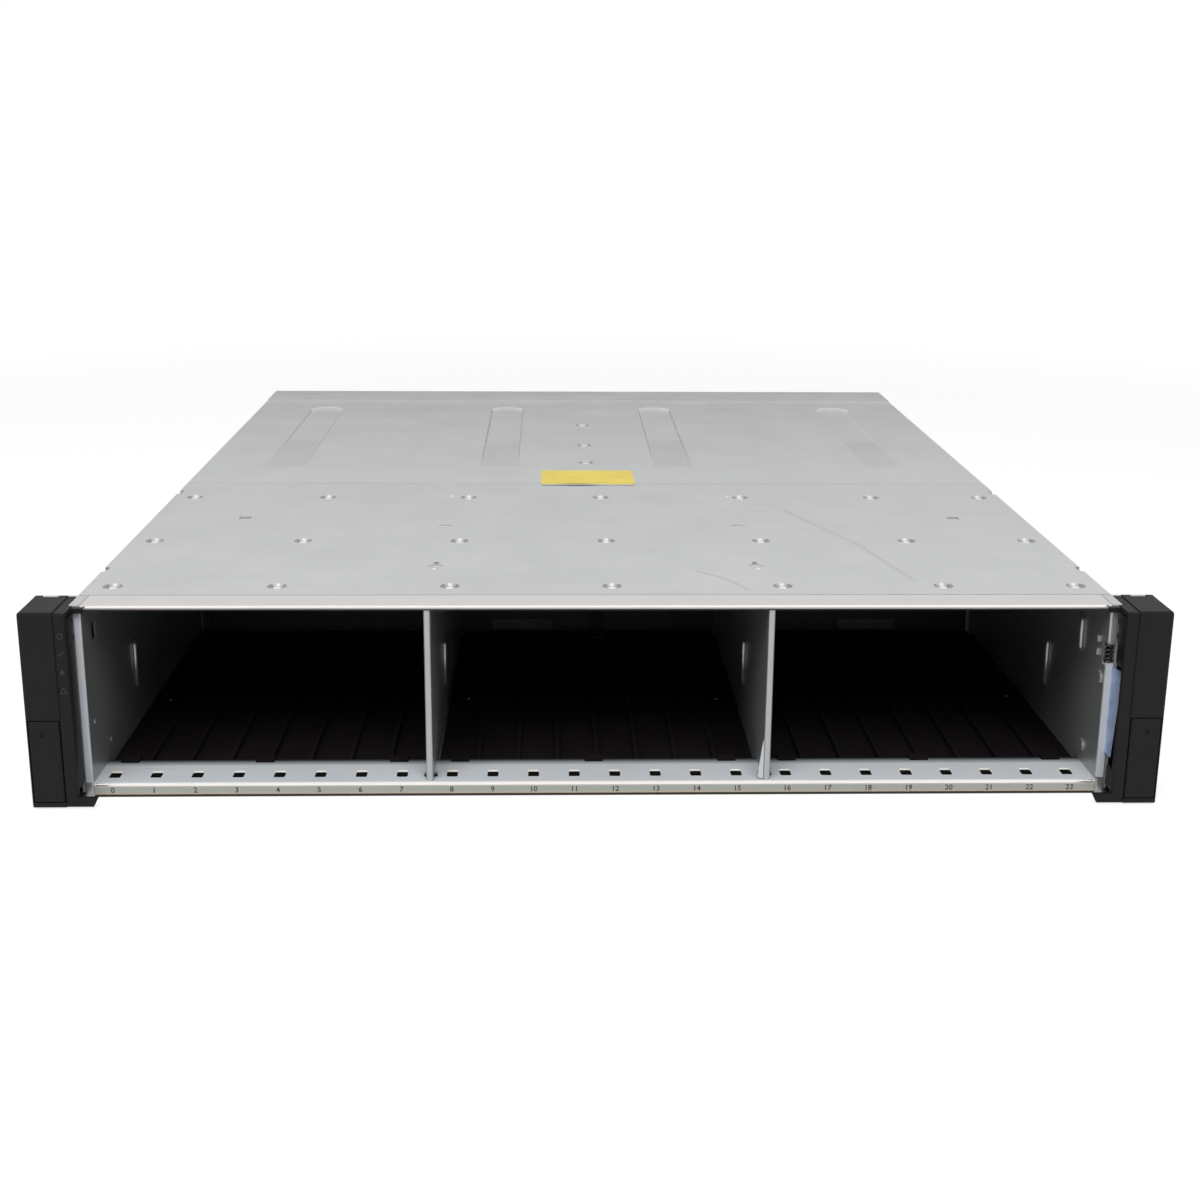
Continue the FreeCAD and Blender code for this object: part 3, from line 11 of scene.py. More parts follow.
import bmesh
import bpy
import numpy as np
from mathutils import Matrix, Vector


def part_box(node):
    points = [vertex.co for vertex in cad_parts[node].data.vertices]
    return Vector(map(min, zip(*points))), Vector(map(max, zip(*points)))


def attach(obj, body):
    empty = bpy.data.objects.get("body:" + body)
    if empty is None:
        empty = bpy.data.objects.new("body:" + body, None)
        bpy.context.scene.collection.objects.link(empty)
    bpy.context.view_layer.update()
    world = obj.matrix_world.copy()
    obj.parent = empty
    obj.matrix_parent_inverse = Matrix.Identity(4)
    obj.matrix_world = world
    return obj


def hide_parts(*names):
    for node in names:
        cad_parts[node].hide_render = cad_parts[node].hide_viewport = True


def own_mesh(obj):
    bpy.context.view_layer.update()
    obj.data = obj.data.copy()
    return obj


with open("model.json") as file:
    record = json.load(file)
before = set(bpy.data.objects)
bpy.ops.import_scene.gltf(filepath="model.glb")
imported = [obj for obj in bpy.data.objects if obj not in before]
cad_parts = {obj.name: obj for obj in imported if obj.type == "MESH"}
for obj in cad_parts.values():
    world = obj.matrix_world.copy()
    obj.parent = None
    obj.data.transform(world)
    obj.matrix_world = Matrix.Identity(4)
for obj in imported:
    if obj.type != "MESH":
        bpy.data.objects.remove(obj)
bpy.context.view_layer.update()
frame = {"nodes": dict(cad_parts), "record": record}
nodes = frame["nodes"]
scene = bpy.context.scene
MM = 0.001
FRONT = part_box("front_sill")[0].y

# %% [markdown]
# The camera stands where the picture was taken: a little left of the middle, a little over arm's length in front and
# high enough to show the whole top. Its angles are turned one after another: the heading about the upright, then the
# tilt from straight down, then the small roll about the line of sight.

# %% Camera
CAMERA_PLACE = (-0.020784, -0.932794, 0.288665)
HEADING, TILT, ROLL = -0.0281725, math.pi / 2 - 0.2635207, 0.0072521
SENSOR_WIDTH, LENS, SHIFT = 36.0, 49.1346, (0.003757, -0.040151)

camera = bpy.data.objects.new("camera", bpy.data.cameras.new("camera"))
camera.data.sensor_width, camera.data.lens = SENSOR_WIDTH, LENS
camera.data.shift_x, camera.data.shift_y = SHIFT
turns = Matrix.Rotation(HEADING, 4, "Z") @ Matrix.Rotation(TILT, 4, "X") @ Matrix.Rotation(ROLL, 4, "Z")
camera.matrix_world = Matrix.Translation(CAMERA_PLACE) @ turns
scene.collection.objects.link(camera)
bpy.context.scene.camera = camera
scene.view_settings.view_transform = "Standard"
print("camera at", CAMERA_PLACE)

# %% [markdown]
# Colours are written as the sRGB hex values that a colour picker shows. Shaders reckon in linear light, so one
# function turns them: each channel is divided by 12.92 near black, and raised to the power 2.4 above that. Another
# function adds one shader node: an input is linked to a socket or to a node's first output, or set to a value.
# Patterns are scaled by real sizes: a texture of scale 1 repeats about once in a metre, so a size in millimetres is
# turned over.

# %% Colours and shader nodes
def linear(code, alpha=1.0):
    """sRGB hex to linear: c / 12.92 up to 0.04045, else ((c + 0.055) / 1.055) to the power 2.4."""
    channels = np.array([int(code[i:i + 2], 16) for i in (1, 3, 5)]) / 255
    low, high = channels / 12.92, ((channels + 0.055) / 1.055) ** 2.4
    return (*np.where(channels <= 0.04045, low, high).tolist(), alpha)


def node(tree, kind, inputs=None, **settings):
    """Adds one node. Settings are its properties; inputs go by name or number to a value, a socket or a node."""
    made = tree.nodes.new("ShaderNode" + kind)
    for name, value in settings.items():
        setattr(made, name, value)
    for name, value in (inputs or {}).items():
        value = value.outputs[0] if isinstance(value, bpy.types.Node) else value
        if isinstance(value, bpy.types.NodeSocket):
            tree.links.new(value, made.inputs[name])
        else:
            made.inputs[name].default_value = value
    return made


def per(size):
    """Texture scale for a pattern whose features are about that many millimetres across."""
    return 1000.0 / size


def bare(name):
    """A new material with an empty node tree."""
    made = bpy.data.materials.new(name)
    made.use_nodes = True
    made.node_tree.nodes.clear()
    return made, made.node_tree


def begin(name):
    """A new material with its node tree, its surface shader and the place on the object in metres."""
    made, tree = bare(name)
    shader = node(tree, "BsdfPrincipled")
    node(tree, "OutputMaterial", {"Surface": shader})
    return made, tree, shader, node(tree, "TexCoord").outputs["Object"]


def dress(tree, shader, colour, roughness, normal):
    """Links colour, roughness and normal to the surface shader."""
    for name, socket in (("Base Color", colour), ("Roughness", roughness), ("Normal", normal)):
        tree.links.new(socket, shader.inputs[name])


print("white is", linear("#ffffff"), "and mid grey", round(linear("#808080")[0], 3))

# %% [markdown]
# The picture was taken on white. The floor is white paper that takes the shadow, and for the eye, for mirrors and for
# glass it also glows a little. Further out it only glows, so that it meets the white world with no horizon. As a
# light the world is dimmer, and a colour comes out about as it was written.

# %% Floor and world
FLOOR_HALF, FLOOR_GAP = 9.0, 0.0004
SHADOW_REACH, PAPER_END = 0.75, 1.3
PAPER_GLOW, WORLD_LIGHT = 0.76, 0.18


def seen_directly(tree):
    """One where a ray comes from the eye, a mirror or glass, and zero where it only carries light."""
    path = node(tree, "LightPath").outputs
    either = node(tree, "Math", {0: path["Is Camera Ray"], 1: path["Is Glossy Ray"]}, operation="MAXIMUM")
    return node(tree, "Math", {0: either, 1: path["Is Transmission Ray"]}, operation="MAXIMUM").outputs[0]


def brightness(tree):
    """Full strength where it is seen directly, and the world's dimmer strength as a light."""
    return node(tree, "MapRange", {"Value": seen_directly(tree), "To Min": WORLD_LIGHT, "To Max": 1.0}).outputs[0]


def flat_sheet(name, corners, finish):
    """One flat sheet of the stage, a single face from its four corners."""
    mesh = bpy.data.meshes.new(name)
    mesh.from_pydata(corners, [], [(0, 1, 2, 3)])
    mesh.materials.append(finish)
    made = bpy.data.objects.new(name, mesh)
    scene.collection.objects.link(made)
    return made


paper, tree = bare("white_paper")
matt = node(tree, "BsdfDiffuse", {"Color": linear("#9f9f9f")})
glow = node(tree, "Emission", {"Color": linear("#ffffff"), "Strength": PAPER_GLOW})
lift = node(tree, "MixShader", {0: seen_directly(tree), 2: glow})
near = node(tree, "AddShader", {0: matt, 1: lift})
blank = node(tree, "Emission", {"Color": linear("#ffffff"), "Strength": 1.0})
far = node(tree, "MixShader", {0: seen_directly(tree), 1: matt, 2: blank})
distance = node(tree, "VectorMath", {0: node(tree, "TexCoord").outputs["Object"]}, operation="LENGTH")
fade_inputs = {"Value": distance.outputs["Value"], "From Min": SHADOW_REACH, "From Max": PAPER_END}
fade = node(tree, "MapRange", fade_inputs, interpolation_type="SMOOTHSTEP")
whole = node(tree, "MixShader", {0: fade, 1: near, 2: far})
node(tree, "OutputMaterial", {"Surface": whole})
floor_corners = np.array([(-1, -1), (1, -1), (1, 1), (-1, 1)]) * FLOOR_HALF
floor = flat_sheet("floor", np.c_[floor_corners, np.full(4, -FLOOR_GAP)].tolist(), paper)

world = bpy.data.worlds.new("studio")
world.use_nodes = True
scene.world = world
tree = world.node_tree
tree.nodes.clear()
white = node(tree, "Background", {"Color": linear("#ffffff"), "Strength": brightness(tree)})
node(tree, "OutputWorld", {"Surface": white})
print("floor and world")

# %% [markdown]
# A card of graded paper stands far behind, out of the camera's sight, black at its foot and white at its top.
# Photographers use such a card with plated sheet: slopes that mirror its foot go dark, so that pressed dishes and
# ribs can be seen on a bright top. Its shade is two straight fades by height, added up.

# %% Graded card
CARD_HALF, CARD_Y = 4.0, 2.2
CARD_BLACK, CARD_PALE, CARD_TOP = 0.35, 0.43, 0.85
FOOT_SHADE, PALE_SHADE = 0.02, 0.70

graded_paper, tree = bare("graded_paper")
height = node(tree, "SeparateXYZ", {0: node(tree, "TexCoord").outputs["Object"]}).outputs["Z"]
rise_to_pale = {"Value": height, "From Min": CARD_BLACK, "From Max": CARD_PALE, "To Min": FOOT_SHADE}
rising = node(tree, "MapRange", {**rise_to_pale, "To Max": PALE_SHADE})
pale_to_white = {"Value": height, "From Min": CARD_PALE, "From Max": CARD_TOP, "To Min": 0.0}
paling = node(tree, "MapRange", {**pale_to_white, "To Max": 1.0 - PALE_SHADE})
grade = node(tree, "Math", {0: rising, 1: paling}, operation="ADD")
shown = node(tree, "Math", {0: grade, 1: brightness(tree)}, operation="MULTIPLY")
sheen = node(tree, "Emission", {"Color": linear("#ffffff"), "Strength": shown})
node(tree, "OutputMaterial", {"Surface": sheen})
card_outline = ((-CARD_HALF, 0), (CARD_HALF, 0), (CARD_HALF, CARD_TOP), (-CARD_HALF, CARD_TOP))
card = flat_sheet("graded_card", [(x, CARD_Y, z) for x, z in card_outline], graded_paper)
card.visible_camera = False
print("graded card,", CARD_TOP, "m high")

# %% [markdown]
# Two large soft lamps light the part, the stronger one in front and above. Both have a polarising sheet, so plated
# metal does not mirror them, and the top does not glare from behind or from above.

# %% Lamps
def softbox(name, place, aim, width, height, power):
    """A rectangular soft lamp at a place, turned so that it shines towards a point, and not seen by mirrors."""
    data = bpy.data.lights.new(name, "AREA")
    data.shape, data.size, data.size_y, data.energy = "RECTANGLE", width, height, power
    lamp = bpy.data.objects.new(name, data)
    scene.collection.objects.link(lamp)
    away = np.subtract(place, aim)
    heading = math.atan2(away[0], -away[1])
    tilt = math.atan2(math.hypot(away[0], away[1]), away[2])
    turned = Matrix.Rotation(heading, 4, "Z") @ Matrix.Rotation(tilt, 4, "X")
    lamp.matrix_world = Matrix.Translation(place) @ turned
    lamp.visible_glossy = False


softbox("front_lamp", (-0.2, -1.40, 1.65), (0, -0.1, 0.05), 2.4, 1.2, 42.0)
softbox("top_lamp", (0.1, 0.0, 2.4), (0, 0, 0), 1.5, 1.5, 9.0)
print("two soft lamps")

# %% [markdown]
# Almost everything here is cold-rolled steel with a clear zinc plating: satin, neutral grey, with a faint rolled
# grain, soft mottling from the bath and a few scuffs from handling. The grain is a noise that is stretched along the
# sheet, the mottling is a larger noise, and the scuffs are a stretched noise that is cut off high, so that only thin
# streaks stay. The front panel also has two long rubs and the hem two short ones, from sliding along something: dull
# lines, drawn as straight masks. Some finishes are darker or paler copies of the sheet: painted shade on the bay
# walls, in the dishes and on the slopes of the hem and ribs, and painted highlights on the top rail and on some edges.
# A dark brown finish paints the shadow lines along the foot of the sill and under the lip.

# %% Plated sheet finishes
GRAIN_MM, GRAIN_DEPTH = (55.0, 1.1, 1.1), 0.03
SCUFF_MM, SCUFF_TURN = (70.0, 1.8, 9.0), 0.62
SCUFF_SHADE, RUB_SHADE = "#8f9092", "#a3a4a5"
RUB_FADES = ((-0.08, 0.04), (1.08, 0.96))


def rub_mark(tree, place, first, last, half_width):
    """Mask of a straight rub in the sheet, from millimetres: one on the line, fading to its sides and its two ends."""
    (x0, y0), (x1, y1) = np.array([first, last]) * MM + (0, FRONT)
    lie = {"Vector": place, "Location": (x0, y0, 0), "Rotation": (0, 0, math.atan2(y1 - y0, x1 - x0))}
    lie["Scale"] = (math.hypot(x1 - x0, y1 - y0), half_width * MM, 1)
    laid = node(tree, "Mapping", lie, vector_type="TEXTURE")
    along, across, _ = node(tree, "SeparateXYZ", {0: laid}).outputs
    aside = node(tree, "Math", {0: across}, operation="ABSOLUTE")
    side_fade = {"Value": aside, "To Min": 1.0, "To Max": 0.0}
    mask = node(tree, "MapRange", side_fade, interpolation_type="SMOOTHSTEP")
    for low, high in RUB_FADES:
        end_fade = node(tree, "MapRange", {"Value": along, "From Min": low, "From Max": high})
        mask = node(tree, "Math", {0: mask, 1: end_fade}, operation="MULTIPLY")
    return mask.outputs[0]


def plated_sheet(name, shade, tint, roughness, metallic, mottle_mm=42.0, scuff=0.10, ripple_mm=0.0, rubs=()):
    """Metal between two colours by mottling and grain; roughness and a shallow bump follow the same noises."""
    made, tree, shader, place = begin(name)
    mottle = node(tree, "TexNoise", {"Vector": place, "Scale": per(mottle_mm), "Detail": 4.0, "Roughness": 0.6})
    along = node(tree, "Mapping", {"Vector": place, "Scale": tuple(map(per, GRAIN_MM))})
    grain = node(tree, "TexNoise", {"Vector": along, "Scale": 1.0, "Detail": 2.0})
    scuff_lie = {"Vector": place, "Rotation": (0, 0, SCUFF_TURN), "Scale": tuple(map(per, SCUFF_MM))}
    turned = node(tree, "Mapping", scuff_lie)
    streak = node(tree, "TexNoise", {"Vector": turned, "Scale": 1.0, "Detail": 1.0})
    scratch = node(tree, "MapRange", {"Value": streak, "From Min": 0.66, "From Max": 0.80})
    blend = node(tree, "MapRange", {"Value": mottle, "From Min": 0.30, "From Max": 0.70})
    weave = node(tree, "Math", {0: blend, 1: grain}, operation="ADD")
    share = node(tree, "Math", {0: weave, 1: 0.5}, operation="MULTIPLY")
    colour = node(tree, "Mix", {0: share, 6: linear(shade), 7: linear(tint)}, data_type="RGBA")
    mark = node(tree, "Math", {0: scratch, 1: scuff}, operation="MULTIPLY")
    worn = node(tree, "Mix", {0: mark, 6: colour.outputs[2], 7: linear(SCUFF_SHADE)}, data_type="RGBA")
    for rub in rubs:
        rubs_and_highlights = node(tree, "Math", {0: rub_mark(tree, place, *rub), 1: mottle}, operation="MULTIPLY")
        worn = node(tree, "Mix", {0: rubs_and_highlights, 6: worn.outputs[2], 7: linear(RUB_SHADE)}, data_type="RGBA")
    spread = roughness * 0.15
    rough_range = {"Value": share, "To Min": roughness - spread, "To Max": roughness + spread}
    rough = node(tree, "MapRange", rough_range)
    ripple = node(tree, "Bump", {"Strength": 1.0, "Distance": ripple_mm * MM, "Height": mottle})
    relief = {"Strength": 0.25, "Distance": GRAIN_DEPTH * MM, "Height": grain}
    bump = node(tree, "Bump", {**relief, "Normal": ripple})
    shader.inputs["Metallic"].default_value = metallic
    shader.inputs["Specular IOR Level"].default_value = 0.1
    dress(tree, shader, worn.outputs[2], rough.outputs[0], bump.outputs[0])
    return made


zinc_plated_steel = plated_sheet("zinc_plated_steel", "#bebfc0", "#c9caca", 0.45, 0.35)
PANEL_RUBS = [
    ((101.6, 170.8), (128.0, 99.3), 2.8), ((128.0, 99.3), (141.6, 38.3), 2.6),
    ((45.3, 53.5), (56.8, 41.9), 2.0), ((56.8, 41.9), (66.2, 23.0), 2.0),
]
top_zinc = plated_sheet("top_panel_zinc", "#b5b6b7", "#c8c9c9", 0.15, 0.95, rubs=PANEL_RUBS)
HEM_RUBS = [((-30.0, 528.5), (-10.0, 527.5), 3.4), ((12.0, 529.0), (27.0, 528.2), 2.8)]
cover_zinc = plated_sheet("rear_cover_zinc", "#c1c2c3", "#d1d2d2", 0.25, 0.92, rubs=HEM_RUBS)
# Darker, duller copies of the sheet: painted shade on the hem's slope and on the sides of the ribs.
slope_shade_zinc = plated_sheet("pressed_slope_zinc", "#b8b9b9", "#c2c3c3", 0.30, 1.0)
dulled_zinc = plated_sheet("dulled_zinc", "#b2b4b4", "#bcbebe", 0.50, 0.0)
# The top rail is paler and warmer than the top sheets: a painted highlight along its front edge.
rail_zinc = plated_sheet("front_rail_zinc", "#cccac8", "#d6d4d2", 0.38, 0.30)
blue_zinc = plated_sheet("blue_passivated_zinc", "#d3d8de", "#dee3e8", 0.45, 0.12)
# Darker sheet for the painted shade on the sides of the dishes.
dish_shade_zinc = plated_sheet("pressed_dish_zinc", "#8d8e8f", "#9b9c9c", 0.20, 1.0)
# The bay walls are darker than the outer sheet: a painted shade inside the bays.
bay_zinc = plated_sheet("bay_wall_zinc", "#a8a9aa", "#b8b9b9", 0.30, 0.65, ripple_mm=0.60)
bright_zinc_sheet = plated_sheet("bright_zinc_sheet", "#b9bcbf", "#c9cccd", 0.36, 0.5, 30.0, 0.06)
nickel_plated_steel = plated_sheet("nickel_plated_steel", "#b7b2a8", "#cdc8bd", 0.28, 1.0, 12.0, 0.04)
# Pale finishes for painted highlights: the sill's bend and the lip's front, and the rims of the sill windows.
burnished_zinc = plated_sheet("burnished_zinc", "#efe9e4", "#f8f4f0", 0.22, 1.0, 9.0, 0.0)
rim_highlight_zinc = plated_sheet("window_rim_zinc", "#f4efe6", "#fbf7f0", 0.50, 0.0, 3.0, 0.0)
rivet_steel = plated_sheet("rivet_steel", "#e0e1e1", "#f4f4f4", 0.24, 0.85, 2.0, 0.0)
# Dark brown for the painted shadow along the foot of the sill and under the lip.
bare_edge_steel = plated_sheet("bare_edge_steel", "#3a352f", "#4a433b", 0.60, 0.2, 6.0, 0.0)
spring_steel = plated_sheet("spring_steel", "#4a4744", "#6a6762", 0.32, 1.0, 3.0, 0.0)
gold_flash = plated_sheet("gold_flash", "#b8923f", "#d2ab55", 0.25, 1.0, 4.0, 0.0)
print("seventeen plated finishes")

# %% [markdown]
# The sill has the same plating, but three places on it are painted light. Its front face is warmer and brownish near
# its foot, a painted reflection, and paler under the bend, a painted highlight; its rear edge fades into a painted
# shade under the guides. The shades are straight fades along an axis of the object, each from one place in
# millimetres to another.

# %% Painted light and shade on the sill
def faded(tree, value, first, last, under, over):
    """Colour that goes straight from one to another between two places, in millimetres, along an axis."""
    share = node(tree, "MapRange", {"Value": value, "From Min": first * MM, "From Max": last * MM})
    return node(tree, "Mix", {0: share, 6: under, 7: over}, data_type="RGBA").outputs[2]


sill_zinc = plated_sheet("sill_zinc", "#d0d5da", "#dbe0e4", 0.45, 0.12)
tree = sill_zinc.node_tree
base_colour = tree.nodes["Principled BSDF"].inputs["Base Color"]
_, depth, height = node(tree, "SeparateXYZ", {0: node(tree, "TexCoord").outputs["Object"]}).outputs
behind = node(tree, "Math", {0: depth, 1: FRONT}, operation="SUBTRACT").outputs[0]
# Painted reflection on the front face, warmer and brownish near the foot, and a painted highlight under the bend.
front_painted_light = faded(tree, height, 2.6, 1.4, linear("#b7b9b3"), linear("#c7beac"))
front_painted_light = faded(tree, height, 4.3, 5.3, front_painted_light, linear("#efe7dd"))
with_front_painted_light = faded(tree, behind, 0.3, 0.1, base_colour.links[0].from_socket, front_painted_light)
# Painted shade: the rear edge fades to dark under the guides.
tree.links.new(faded(tree, behind, 18.8, 25.0, with_front_painted_light, linear("#2e343a")), base_colour)
print("sill finish with four fades")

# %% [markdown]
# The plastics are injection mouldings. Caps and levers have the fine grain of a spark-eroded mould, which scatters
# the light and hides the flow lines; guides and connectors are smoother and deeper black. The real grain is about a
# third of a millimetre, too fine for the picture, so it is drawn about three times as coarse.

# %% Moulded plastics
def moulded(name, deep, pale, roughness, grain_mm, relief_mm, cloud_mm=25.0, gloss=0.5):
    """Plastic between two near colours by a cloudy noise, with a grainy bump and a roughness that varies a little."""
    made, tree, shader, place = begin(name)
    cloud = node(tree, "TexNoise", {"Vector": place, "Scale": per(cloud_mm), "Detail": 5.0, "Roughness": 0.65})
    grain = node(tree, "TexNoise", {"Vector": place, "Scale": per(grain_mm), "Detail": 2.0})
    share = node(tree, "MapRange", {"Value": cloud, "From Min": 0.35, "From Max": 0.70})
    colour = node(tree, "Mix", {0: share, 6: linear(deep), 7: linear(pale)}, data_type="RGBA")
    rough = node(tree, "MapRange", {"Value": cloud, "To Min": roughness - 0.08, "To Max": roughness + 0.08})
    bump = node(tree, "Bump", {"Strength": 0.5, "Distance": relief_mm * MM, "Height": grain})
    shader.inputs["Specular IOR Level"].default_value = gloss
    dress(tree, shader, colour.outputs[2], rough.outputs[0], bump.outputs[0])
    return made


grained_abs = moulded("grained_abs", "#161314", "#1b1819", 0.55, 1.0, 0.05, gloss=0.2)
guide_polycarbonate = moulded("guide_polycarbonate", "#1a1618", "#1f1b1d", 0.85, 1.4, 0.02, gloss=0.03)
connector_nylon = moulded("connector_nylon", "#121213", "#1b1b1c", 0.45, 1.2, 0.02)
latch_nylon = moulded("latch_nylon", "#90a6d2", "#c4d3f0", 0.42, 1.6, 0.03, 6.0)
lever_abs = moulded("lever_abs", "#5b5f63", "#686c70", 0.48, 1.0, 0.04)
fan_polyester = moulded("fan_polyester", "#161617", "#202021", 0.42, 1.2, 0.02)
clear_acrylic = moulded("clear_acrylic", "#3a3a3b", "#4b4b4c", 0.18, 2.0, 0.01)
green_lens = moulded("green_lens", "#1d3a24", "#27492f", 0.18, 2.0, 0.01)
amber_lens = moulded("amber_lens", "#5a3a16", "#6d4a20", 0.18, 2.0, 0.01)
yellow_vinyl = moulded("yellow_vinyl", "#e2ca3e", "#efd954", 0.42, 3.0, 0.02, 18.0)
label_paper = moulded("label_paper", "#c9c8c6", "#d8d7d5", 0.70, 0.9, 0.01, 6.0, 0.2)
# The label paper in a darker grey.
aged_paper = moulded("aged_paper", "#7c7a7c", "#8b898b", 0.70, 0.9, 0.01, 6.0, 0.2)
clip_nylon = moulded("clip_nylon", "#39383a", "#454446", 0.60, 1.2, 0.02, 8.0, 0.2)
printing_ink = moulded("printing_ink", "#474645", "#54524f", 0.60, 0.8, 0.005, 4.0, 0.2)
sign_print = moulded("sign_print", "#3c3b3d", "#484749", 0.50, 0.8, 0.005, 2.0, 0.2)
# Black for the foam at the end of the floors, and for the painted shade in the sill windows.
black_foam = moulded("black_foam", "#0a0a0b", "#111112", 0.85, 0.7, 0.06, 5.0, 0.1)
print("sixteen mouldings, films and papers")

# %% [markdown]
# A circuit board is woven glass in resin under a solder mask. From the front it is only a dark wall at the end of the
# bays, so it gets the mask's colour with a grid of faint tracks: a brick pattern, whose mortar lines are the tracks.

# %% Circuit board
TRACK_MM = 5.0
masked_board, tree, shader, place = begin("solder_masked_board")
upright = node(tree, "Mapping", {"Vector": place, "Rotation": (math.pi / 2, 0, 0)})
tracks = node(tree, "TexBrick", {
    "Vector": upright, "Scale": per(TRACK_MM), "Mortar Size": 0.05, "Brick Width": 1.7, "Row Height": 0.35,
    "Color1": linear("#0d0e0d"), "Color2": linear("#101110"), "Mortar": linear("#171a16"),
})
tree.links.new(tracks.outputs["Color"], shader.inputs["Base Color"])
shader.inputs["Roughness"].default_value = 0.42
print("solder mask with tracks")

# %% [markdown]
# Each node of the frame names its material slot in the record, so the finishes are handed out by slot. A few sheets
# have a finish of their own.

# %% Finishes on the frame
SLOT_FINISHES = {
    "zinc_sheet": zinc_plated_steel, "rivet_steel": rivet_steel, "guide_plastic": guide_polycarbonate,
    "circuit_board": masked_board, "connector_plastic": connector_nylon, "cap_plastic": grained_abs,
    "clear_plastic": clear_acrylic, "latch_plastic": latch_nylon, "spring_steel": spring_steel,
    "module_sheet": bright_zinc_sheet, "port_steel": nickel_plated_steel, "lever_plastic": lever_abs,
    "fan_plastic": fan_polyester,
}
NODE_FINISHES = {
    "front_top_panel": top_zinc, "rear_top_cover": cover_zinc, "front_top_rail": rail_zinc, "front_sill": sill_zinc,
    "latch_slider": blue_zinc, "left_bay_liner": bay_zinc, "right_bay_liner": bay_zinc, "left_partition": bay_zinc,
    "right_partition": bay_zinc,
}
for entry in frame["record"]["subparts"]:
    mesh = nodes[entry["node"]].data
    mesh.materials.clear()
    mesh.materials.append(NODE_FINISHES.get(entry["node"], SLOT_FINISHES[entry["material_slot"]]))

# %% [markdown]
# New pieces are surfaces on a grid of two parameters. One function joins neighbouring points to quads, for any number
# of equal copies at once. Another puts such grids into a mesh, merges the points that meet at poles and seams, turns
# the faces outwards, and lets the piece ride on its body.

# %% Grids to pieces
SMOOTH_TO = 0.7


def place_mm(*points):
    """Points in millimetres, with Y counted from the front plane, to metres in the frame."""
    return np.array(points, float) * MM + (0, FRONT, 0)


def quads(copies, rows, columns):
    """Numbers of the corners of every quad; the columns close on themselves, so each row is a ring."""
    copy, row, column = np.ogrid[:copies, :rows - 1, :columns]
    first = (copy * rows + row) * columns
    after = (column + 1) % columns
    return np.stack(np.broadcast_arrays(
        first + column, first + after, first + columns + after, first + columns + column), -1).reshape(-1, 4)


def copies_at(shape, places, turn=np.eye(3)):
    """The same grid at each place: points turned by a matrix whose columns are the new axes, then moved."""
    return np.asarray(places)[:, None, None, :] + (shape @ np.asarray(turn).T)[None]


def settle(name, mesh, finish, body, smooth_to):
    """Merges doubles, turns the faces outwards, and makes the object with its finish and body."""
    work = bmesh.new()
    work.from_mesh(mesh)
    bmesh.ops.remove_doubles(work, verts=work.verts, dist=1e-7)
    bmesh.ops.recalc_face_normals(work, faces=work.faces)
    work.to_mesh(mesh)
    work.free()
    mesh.shade_smooth()
    mesh.set_sharp_from_angle(angle=smooth_to)
    mesh.materials.append(finish)
    made = bpy.data.objects.new(name, mesh)
    scene.collection.objects.link(made)
    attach(made, body)
    print(name, len(mesh.polygons), "faces on", body)
    return made


def piece(name, grids, finish, body="chassis", smooth_to=SMOOTH_TO):
    """One mesh object from grids of shape (copies, rows, columns, 3), closed, outward and smooth up to an angle."""
    points, faces, count = [], [], 0
    for grid in grids:
        faces.append(quads(*grid.shape[:3]) + count)
        points.append(grid.reshape(-1, 3))
        count += len(points[-1])
    mesh = bpy.data.meshes.new(name)
    mesh.from_pydata(np.concatenate(points), [], np.concatenate(faces))
    return settle(name, mesh, finish, body, smooth_to)


print("helpers for grids")

# %% [markdown]
# Most small fixings are turned or stamped. A turned shape is a profile carried round an axis, and a stamped one is a
# rounded rectangle carried up, drawn in by an inset at each height.

# %% Turned shapes and pads
def lathe(profile, sides=20):
    """Each profile point (radius, height) goes round the axis: x = r cos t, y = r sin t, z = h."""
    radius, height = np.array(profile, float).T[:, :, None] * MM
    turn = np.linspace(0, 2 * np.pi, sides, endpoint=False)
    return np.stack(np.broadcast_arrays(radius * np.cos(turn), radius * np.sin(turn), height), -1)


def pad(width, length, corner, rings, steps=4):
    """Rounded rectangle carried up: corner centres plus a quarter turn each, drawn in by every ring's inset.

    A ring is (inset, height); the first and last rows are drawn in to the middle, so the form is closed.
    """
    quarter = np.linspace(0, np.pi / 2, steps)
    turn = (np.arange(4)[:, None] * np.pi / 2 + quarter).ravel()
    middle = np.repeat(np.arange(4) * np.pi / 2 + np.pi / 4, steps)
    side_x, side_y = np.sign(np.cos(middle)), np.sign(np.sin(middle))
    centre = np.stack([side_x * (width / 2 - corner), side_y * (length / 2 - corner)], -1)
    inset, height = np.array(rings, float).T
    reach = np.maximum(corner - inset, 0)[:, None, None]
    flat = centre + reach * np.stack([np.cos(turn), np.sin(turn)], -1)
    rows = np.concatenate([flat[:1] * 0, flat, flat[-1:] * 0])
    levels = np.concatenate([height[:1], height, height[-1:]])[:, None, None]
    return np.concatenate([rows, np.broadcast_to(levels, (*rows.shape[:2], 1))], -1) * MM


FACING_FRONT = np.array([(1, 0, 0), (0, 0, 1), (0, -1, 0)]).T
FACING_REAR = np.array([(-1, 0, 0), (0, 0, 1), (0, 1, 0)]).T
FACING_RIGHT = np.array([(0, 1, 0), (0, 0, 1), (1, 0, 0)]).T
FACING_LEFT = np.array([(0, -1, 0), (0, 0, 1), (-1, 0, 0)]).T
print("helpers for turned shapes and pads")

# %% [markdown]
# Wires, bars and bent sheet are a section carried along a path: a circle for wire, a ring of four corners for bars
# and sheet. Both ends are drawn in to a point, so the form is closed.

